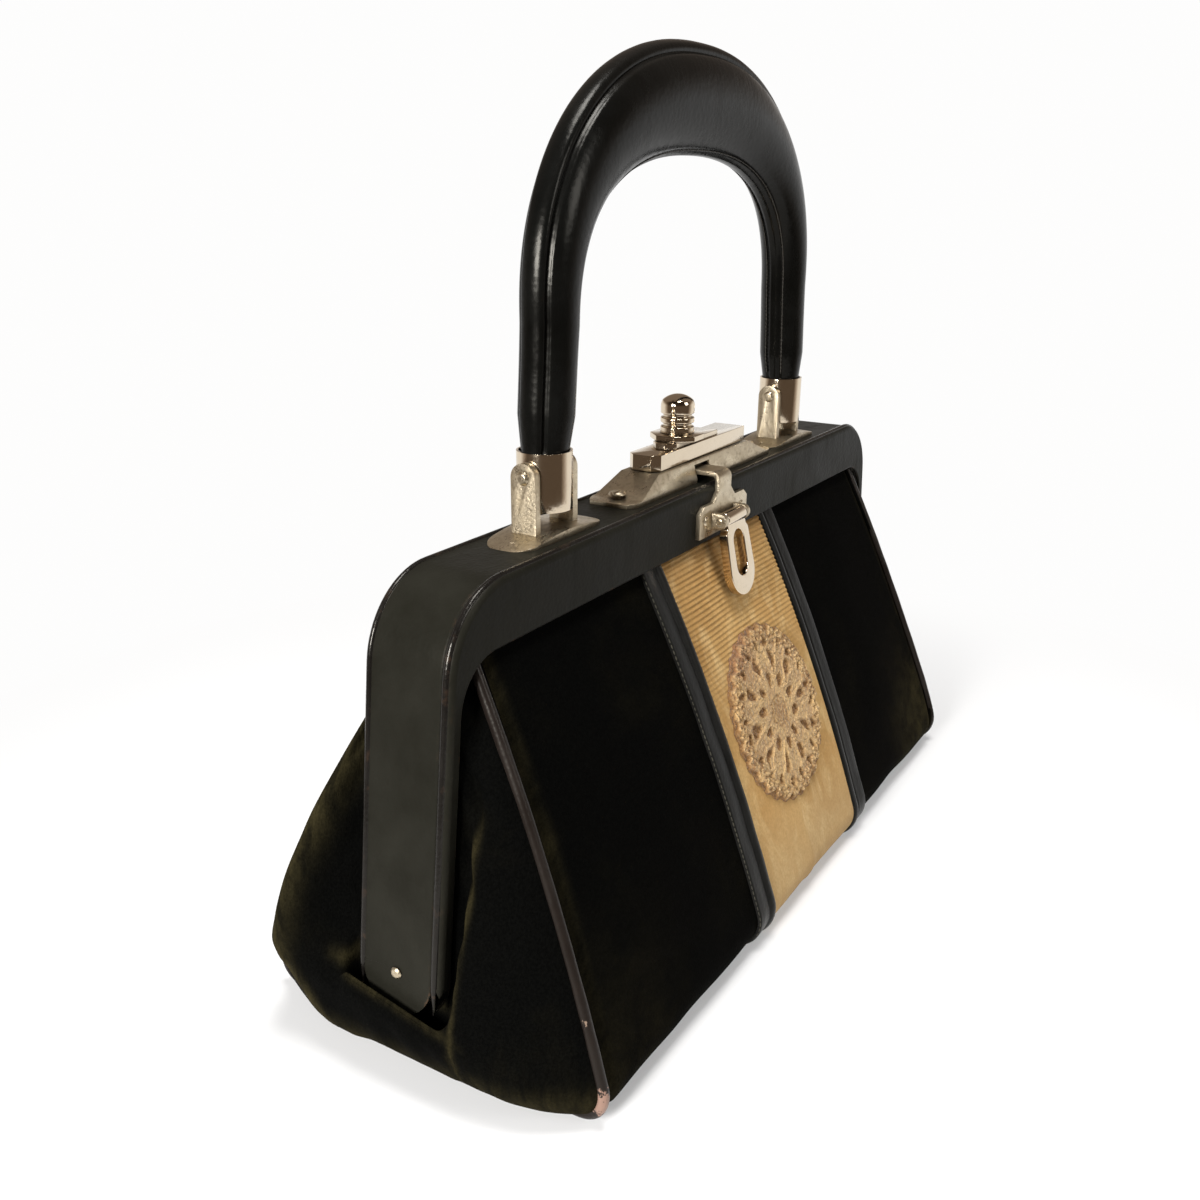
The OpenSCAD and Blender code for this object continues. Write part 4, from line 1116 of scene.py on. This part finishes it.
class HANDBAG_OT_base(bpy.types.Operator):
    """The velvet under the bag."""

    bl_idname = "handbag.base"
    bl_label = "Base"

    def execute(self, context):
        front, rear = Wall(-1), Wall(1)
        half = settings("body_sizes").foot_half

        def place(u, v):
            y = front.corner.x + (-rear.corner.x - front.corner.x) * v
            x = (half - 0.001) * (2 * u - 1)
            sag = 0.0009 * (1 - ease(abs(x), 0.1, half)) * sin(pi * v)
            return (x, y, 0.0009 - sag + 0.0002 * wave((x, y, 0), 0.02, 8))

        piece = grid("base_velvet", 80, 34, place)
        cloth(piece, (0, 0, -1), BASE_T, "velvet", "velvet", ["bottom_velvet"])
        return {"FINISHED"}


class HANDBAG_OT_piping(bpy.types.Operator):
    """Leather piping down the four side seams and round the lower corners."""

    bl_idname = "handbag.piping"
    bl_label = "Piping"

    def execute(self, context):
        for side, end in ENDS:
            for hand, tag in HANDS:
                self.cord(Wall(side), hand, f"piping_{end}_{tag}")
        return {"FINISHED"}

    def cord(self, wall, hand, node):
        r = settings("body_sizes").piping_r

        def place(u, v):
            s = 0.0015 + (wall.length + 0.0005) * v
            y, z = wall.at(s, -r * 0.75)
            y1, z1 = wall.at(s + 0.0003, -r * 0.75)
            across = Vector((hand, 0, 0))
            up = Vector((0, y1 - y, z1 - z)).normalized().cross(across)
            fat = r * (1 + 0.05 * wave((s, 0, 0), 0.006, 3 + wall.side + hand))
            centre = Vector((hand * (side_x(z, hand) + 0.0018), y, z))
            return centre + (across * cos(tau * u) + up * sin(tau * u)) * fat

        piece = tube(node + "_cord", 20, 150, place)
        smooth(piece, 70)
        dress(piece, "piping", "piping", [node], bend=wall.bend)


class HANDBAG_OT_lining(bpy.types.Operator):
    """Cotton lining, seen when the bag is open."""

    bl_idname = "handbag.lining"
    bl_label = "Lining"

    def execute(self, context):
        walls = {side: Wall(side) for side, end in ENDS}
        inset = settings("body_sizes").velvet_t + 0.0004

        def sheet(name, node, cells, place, towards, thickness=LINING_T, bend=None, offset=1.0):
            piece = grid(name, *cells, place)
            cloth(piece, towards, thickness, "lining", "lining", [node], bend, offset=offset)

        for side, end in ENDS:
            wall = walls[side]

            def wall_place(u, v):
                s = 0.001 + (wall.length - 0.003) * v
                y, z = wall.at(s, -inset - 0.0004)
                x = (side_x(z, 2 * u - 1) - 0.0034) * (2 * u - 1)
                ruffle = 0.0006 * (1 + wave((x, 0, z), 0.018, 4)) * sin(pi * v)
                y, z = wall.at(s, -inset - 0.0003 - ruffle)
                return (x, y, z)

            sheet(f"lining_{end}_sheet", f"lining_{end}", (90, 40), wall_place, -wall.out, bend=wall.bend)
        for hand, tag in HANDS:
            def side_place(u, v):
                z = 0.1085 - 0.1035 * v
                low, high = walls[-1].depth(z) + 0.0032, walls[1].depth(z) - 0.0032
                y = low + (high - low) * u
                x = side_x(z, hand) - 0.0030 - 0.0005 * wave((0, y, z), 0.014, 7) * sin(pi * u)
                return (hand * x, y, z)

            sheet(f"lining_{tag}_sheet", f"lining_{tag}", (30, 40), side_place, (-hand, 0, 0), LINING_SIDE_T)

        def floor_place(u, v):
            x, y = 0.1232 * (2 * u - 1), -0.0435 + 0.087 * v
            return (x, y, 0.0050 + 0.0003 * wave((x, y, 0), 0.03, 3))

        sheet("lining_base_sheet", "lining_bottom", (60, 24), floor_place, (0, 0, 1), offset=-1.0)
        return {"FINISHED"}


class HANDBAG_OT_frame_covers(bpy.types.Operator):
    """The leather over the two frames, with rolled edges, and the frames' steel."""

    bl_idname = "handbag.frame_covers"
    bl_label = "Frame covers"

    def execute(self, context):
        rear = from_cad("rear_frame_leather", "rear_frame_cover")
        front = from_cad("front_frame_leather", "front_frame_cover")
        strap_edge, rear_back = (corner.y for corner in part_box("rear_frame_leather"))
        front_face, front_back = (corner.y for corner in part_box("front_frame_leather"))
        # Each piece, the depth of the edges to round, and the radius, for the opening's edges with -1
        rolls = (
            (rear, strap_edge, 0.00085), (rear, rear_back, 0.0013),
            (front, front_face, 0.0016), (front, front_back, 0.0008),
            (rear, rear_back, 0.0005, -1, 3), (front, front_face, 0.0005, -1, 3),
        )
        for roll in rolls:
            self.roll_edges(*roll)
        self.bead("front_edge_bead", front_back - 0.0001, 0.0010, "front_frame")
        self.bead("back_edge_bead", rear_back - 0.0006, 0.0009, "bag_body")
        for piece, node in ((rear, "rear_frame_leather"), (front, "front_frame_leather")):
            smooth(piece, 40)
            dress(piece, "leather", "frame_leather", [node], body_of(node))
        paint(
            "steel", "rear_frame", "front_frame", "hinge_washers", "lock_backing_plate", "lock_nuts",
            "mount_nuts", "detent_spring", "lock_bolt", "handle_core",
        )
        paint("board", "bottom_board")
        for tag in ("left", "right"):
            metal("nickel", "nickel", (f"hinge_rivet_{tag}", f"hinge_rivet_{tag}_turned", 0.0002, 3))
        return {"FINISHED"}

    def roll_edges(self, piece, y, offset, way=1, segments=4):
        """Rounds the edges at a depth that lie on the outer rim, or with way -1 round the opening."""
        def pick(middle, normals):
            away = Vector((middle.x, 0, middle.z - OPENING_Z))
            on_rim = any(abs(n.y) < 0.5 and n.dot(away) * way > 0 for n in normals)
            return on_rim and abs(middle.y - y) < 50 * MERGED

        round_edges(piece, pick, offset, segments)

    def bead(self, name, y, radius, body):
        """A rolled leather bead along the frame's outer edge, from leg to leg."""
        path = [Vector((x, y, z)) for x, z in frame_edge(0.0004)]
        lengths = [0.0]
        for a, b in zip(path, path[1:]):
            lengths.append(lengths[-1] + (b - a).length)

        def at(s):
            s = min(max(s, 0.0), lengths[-1])
            i = max(1, next(k for k, far in enumerate(lengths) if far >= s))
            return path[i - 1].lerp(path[i], (s - lengths[i - 1]) / (lengths[i] - lengths[i - 1]))

        def place(u, v):
            s = lengths[-1] * v
            ahead = (at(s + 0.0015) - at(s - 0.0015)).normalized()
            up = Vector((0, -1, 0)).cross(ahead)
            fat = radius * (0.15 + 0.85 * ease(min(s, lengths[-1] - s), 0.0, 0.008))
            a = tau * u
            return at(s) + (up * cos(a) + Vector((0, 1, 0)) * sin(a)) * fat

        piece = tube(name, 14, 260, place)
        smooth(piece, 70)
        dress(piece, "bead", "frame_leather", body=body)


class HANDBAG_OT_lock(bpy.types.Operator):
    """The slide lock on top: its housing, screws, sliding block, collar and turned knob."""

    bl_idname = "handbag.lock"
    bl_label = "Lock"

    def execute(self, context):
        metal(
            "nickel", "nickel",
            ("lock_base", "lock_housing", 0.00035), ("lock_screws", "lock_housing_screws", 0.00012, 2),
        )
        metal(
            "polished", "polished_nickel",
            ("lock_slide", "lock_slide_block", 0.0003), ("knob_collar", "knob_collar_ring", 0.0003),
            ("knob", "knob_turned", 0.0002, 2, 50),
        )
        return {"FINISHED"}


class HANDBAG_OT_hasp(bpy.types.Operator):
    """The hasp on the front frame and its pear-shaped drop pull."""

    bl_idname = "handbag.hasp"
    bl_label = "Hasp"

    def execute(self, context):
        metal(
            "nickel", "nickel",
            ("hasp", "hasp_plate", 0.00028), ("hasp_rivets", "hasp_rivet_heads", 0.00015, 2),
            ("drop_pin", "drop_pull_pin", 0.00015, 2),
        )
        metal("polished", "polished_nickel", ("drop_pull", "drop_pull_loop", 0.0007, 4))
        return {"FINISHED"}


class HANDBAG_OT_mounts(bpy.types.Operator):
    """The handle's mounts, pins and ferrules."""

    bl_idname = "handbag.mounts"
    bl_label = "Mounts"

    def execute(self, context):
        for tag in ("left", "right"):
            metal(
                "nickel", "nickel",
                (f"mount_{tag}", f"mount_{tag}_casting", 0.0003),
                (f"handle_pin_{tag}", f"handle_pin_{tag}_turned", 0.0002, 3),
            )
            metal("polished", "polished_nickel", (f"ferrule_{tag}", f"ferrule_{tag}_sleeve", 0.00018, 3, 50))
        return {"FINISHED"}


class HandleLine:
    """The handle's middle line: up one leg, round a squared arch and down the other."""

    def __init__(self):
        low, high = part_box("ferrule_right")
        self.foot_x = (low.x + high.x) / 2
        self.foot_z = high.z - 0.0034
        self.spring_z = 0.1785
        self.half_w = self.foot_x - 0.0028
        self.rise = 0.0534
        self.power = 2.28
        self.end_r = 0.0062
        self.crown_out, self.crown_deep = 0.0136, 0.0082

    def point(self, u):
        """u runs from -1 at one ferrule through 0 and 1 at the springings to 2 at the other."""
        if u < 0 or u > 1:
            k = u + 1 if u < 0 else 2 - u
            x = -self.foot_x + (self.foot_x - self.half_w) * k
            z = self.foot_z + (self.spring_z - self.foot_z) * k
            return Vector((x if u < 0 else -x, 0, z))
        c, s = cos(pi * u), sin(pi * u)
        x = -self.half_w * copysign(abs(c) ** (2 / self.power), c)
        return Vector((x, 0, self.spring_z + self.rise * abs(s) ** (2 / self.power)))

    def spread(self, count):
        """Values of u that lie evenly along the line."""
        steps = 1200
        fine = [i * 3 / steps - 1 for i in range(steps + 1)]
        run = [0.0]
        for a, b in zip(fine, fine[1:]):
            run.append(run[-1] + (self.point(b) - self.point(a)).length)
        out, j = [], 0
        for i in range(count + 1):
            want = run[-1] * i / count
            while j < len(run) - 2 and run[j + 1] < want:
                j += 1
            share = (want - run[j]) / max(run[j + 1] - run[j], 1e-9)
            out.append(fine[j] + (fine[j + 1] - fine[j]) * share)
        return out

    def out(self, u):
        run = self.point(min(2, u + 0.008)) - self.point(max(-1, u - 0.008))
        return Vector((-run.z, 0, run.x)).normalized()

    def halves(self, u):
        """Half thickness across the arch and front to back."""
        k = u + 1 if u < 0 else 2 - u if u > 1 else 1
        base = self.end_r + 0.0011 * max(0.0, min(1.0, (k - 0.1) * 4))
        near = min(u, 1 - u)
        grown = ease(near * (0.24 if near > 0 else 0.034), -0.014, 0.118) ** 0.9
        return (base + (self.crown_out - self.end_r - 0.0011) * grown,
                base + (self.crown_deep - self.end_r - 0.0011) * grown)


class HANDBAG_OT_handle(bpy.types.Operator):
    """The stiff padded handle: a leather grip, a welt round the outside and a seam along the inside."""

    bl_idname = "handbag.handle"
    bl_label = "Handle"

    def execute(self, context):
        line = HandleLine()
        steps = 200
        turns = line.spread(steps)
        held = [u for u in turns if -0.97 <= u <= 1.97]
        last = len(held) - 1
        welt_angle, groove, seam_dent, seam_lift = 0.50, 0.0008, 0.0005, 0.0004

        def section(u, a, lift=0.0):
            """A point of the grip's surface; a is 0 on the outside of the arch."""
            across, deep = line.halves(u)
            k = min(1.0, (u + 1) / 0.12 if u < 0 else (2 - u) / 0.12 if u > 1 else 1)
            away = abs(remainder(a, tau))
            dent = groove * k * exp(-((away - welt_angle) / 0.085) ** 2)
            inner = abs(away - pi)
            dent += seam_dent * k * exp(-((inner - 0.30) / 0.06) ** 2)
            dent -= seam_lift * k * (1 - ease(inner, 0.2, 0.3))
            out = line.out(u) * across * cos(a) + Vector((0, 1, 0)) * deep * sin(a)
            return line.point(u) + out * (1 + (lift - dent) / out.length)

        def grip(u, v):
            return section(turns[round(v * steps)], tau * u)

        def welt(u, v):
            a = tau * u
            lift = 0.00015 + 0.00095 * cos(a) ** 0.35 if cos(a) > 0 else -0.0006
            return section(held[round(v * last)], welt_angle * 0.94 * sin(a), lift)

        piece = tube("handle_grip", 72, steps, grip)
        smooth(piece, 80)
        dress(piece, "handle", "handle_leather", ["handle_leather"], "handle")
        piece = tube("handle_welt_strip", 28, last, welt)
        smooth(piece, 60)
        dress(piece, "handle", "handle_leather", ["handle_welt"], "handle")
        for tag, angle in (("front", pi + 0.40), ("rear", pi - 0.40)):
            places = []
            for u in turns[4:steps - 4]:
                if -0.9 <= u <= 1.9:
                    a, b = section(u, angle, 0.0001), section(min(2, u + 0.004), angle, 0.0001)
                    places.append(((a + b) / 2, b - a, (a - line.point(u)).normalized()))
            row = stitches(f"handle_inner_stitches_{tag}", places)
            dress(row, "thread", "handle_leather", body="handle")
        return {"FINISHED"}


class HANDBAG_OT_camera(bpy.types.Operator):
    """The camera at the photograph's viewing angle."""

    bl_idname = "handbag.camera"
    bl_label = "Camera"

    def execute(self, context):
        sensor, focal_px = 36.0, 1180.04
        middle_px, middle_py = 578.54, 640.71
        yaw, pitch, roll = (radians(d) for d in (57.43, -20.9, 0.05))
        deselect()
        bpy.ops.object.camera_add(location=(-0.3178, -0.1661, 0.2089))
        camera = bpy.context.object
        camera.name = "camera"
        forward = Vector((sin(yaw) * cos(pitch), cos(yaw) * cos(pitch), sin(pitch)))
        turn = forward.to_track_quat("-Z", "Y").to_matrix() @ Matrix.Rotation(roll, 3, "Z")
        camera.rotation_euler = turn.to_euler()
        camera.data.sensor_width = sensor
        camera.data.lens = focal_px * sensor / IMAGE_SIDE
        camera.data.shift_x = (IMAGE_SIDE / 2 - middle_px) / IMAGE_SIDE
        camera.data.shift_y = (middle_py - IMAGE_SIDE / 2) / IMAGE_SIDE
        camera.data.clip_start, camera.data.clip_end = 0.01, 20
        bpy.context.scene.camera = camera
        return {"FINISHED"}


# Each lamp's place, the height that it looks at over the bag's middle, its size and its power
LAMPS = (
    ("top_lamp", (-0.05, -0.12, 1.3), 0.05, 0.4, 12),
    ("left_lamp", (-1.35, 0.05, 0.55), 0.08, 0.45, 33),
    ("front_lamp", (0.1, -1.4, 0.8), 0.05, 0.5, 5.5),
)


class HANDBAG_OT_stage(bpy.types.Operator):
    """A plain pale floor, soft lamps and a pale world."""

    bl_idname = "handbag.stage"
    bl_label = "Stage"

    def execute(self, context):
        deselect()
        bpy.ops.mesh.primitive_circle_add(
            vertices=96, radius=0.31, fill_type="NGON", location=(0, 0, -0.0002)
        )
        floor = named("floor")
        floor.data.materials.append(self.floor_material())
        self.world()
        for lamp in LAMPS:
            self.lamp(*lamp)
        bpy.context.scene.view_settings.view_transform = "Standard"
        return {"FINISHED"}

    def floor_material(self):
        """Pale matt floor that keeps the shadow and still meets the white background."""
        floor = bpy.data.materials.new("floor")
        n = Nodes(floor)
        where = n.node("TexCoord").outputs["Object"]
        away = n.made("Value", "VectorMath", {0: where}, operation="LENGTH")
        fade = n.map(away, 0.13, 0.305, 0.3, 1.0, interpolation_type="SMOOTHSTEP")
        matt = n.made("BSDF", "BsdfDiffuse", {"Color": (0.82, 0.81, 0.80)})
        glow = n.made("Emission", "Emission", {"Color": (0.985, 0.98, 0.975)})
        n.show(n.times(n.seen_rays(), fade), matt, glow, "OutputMaterial")
        return floor

    def world(self):
        """Dim plain light, and a surround for gloss that is white in front and warm and dark behind."""
        world = bpy.data.worlds.new("studio")
        bpy.context.scene.world = world
        n = Nodes(world)
        towards = n.node("TexCoord").outputs["Generated"]
        ahead = (0.84, 0.54, 0.0)
        height = n.made("Z", "SeparateXYZ", {"Vector": towards})
        behind = n.map(n.vectors("DOT_PRODUCT", towards, ahead), -0.3, 0.3, 0.16, 1.0)
        low = n.map(height, 0.08, 0.34, 1.0, 0.3)
        camera_ray = n.node("LightPath").outputs["Is Camera Ray"]
        bright = n.math("MAXIMUM", n.times(behind, low), camera_ray)
        warm, white = (0.62, 0.42, 0.27), (0.985, 0.982, 0.978)
        shade = n.made(2, "Mix", {0: bright, 6: warm, 7: white}, data_type="RGBA")
        plain = n.made("Background", "Background", {"Color": (1, 1, 1), "Strength": 0.2})
        seen = n.made("Background", "Background", {"Color": shade, "Strength": bright})
        n.show(n.seen_rays(), plain, seen, "OutputWorld")

    def lamp(self, name, place, aim_z, size, power):
        deselect()
        bpy.ops.object.light_add(type="AREA", location=place)
        lamp = bpy.context.object
        lamp.name = name
        lamp.data.size = size
        lamp.data.energy = power
        lamp.rotation_euler = (Vector((0, 0, aim_z)) - Vector(place)).to_track_quat("-Z", "Y").to_euler()


class HANDBAG_PT_pieces(bpy.types.Panel):
    """Lists the bag's pieces and sizes."""

    bl_idname = "HANDBAG_PT_pieces"
    bl_label = "Handbag"
    bl_space_type = "VIEW_3D"
    bl_region_type = "UI"
    bl_category = "Handbag"

    def draw(self, context):
        column = self.layout.column()
        for operator in OPERATORS:
            column.operator(operator.bl_idname)
        for group in ("body_sizes", "colours"):
            values = getattr(context.scene, group)
            for key in values.bl_rna.properties.keys():
                if key not in ("rna_type", "name"):
                    column.prop(values, key)


OPERATORS = (
    HANDBAG_OT_camera, HANDBAG_OT_walls, HANDBAG_OT_rosette, HANDBAG_OT_sides, HANDBAG_OT_base,
    HANDBAG_OT_piping, HANDBAG_OT_lining, HANDBAG_OT_frame_covers, HANDBAG_OT_lock, HANDBAG_OT_hasp,
    HANDBAG_OT_mounts, HANDBAG_OT_handle, HANDBAG_OT_stage,
)
GROUPS = {"body_sizes": BodySizes, "colours": Colours}


def register():
    for name, group in GROUPS.items():
        bpy.utils.register_class(group)
        setattr(bpy.types.Scene, name, bpy.props.PointerProperty(type=group))
    for kind in (*OPERATORS, HANDBAG_PT_pieces):
        bpy.utils.register_class(kind)


def unregister():
    for kind in (HANDBAG_PT_pieces, *reversed(OPERATORS)):
        bpy.utils.unregister_class(kind)
    for name, group in GROUPS.items():
        delattr(bpy.types.Scene, name)
        bpy.utils.unregister_class(group)


def main():
    register()
    for operator in OPERATORS:
        family, name = operator.bl_idname.split(".")
        getattr(getattr(bpy.ops, family), name)()
    deselect()


if __name__ == "__main__":
    main()
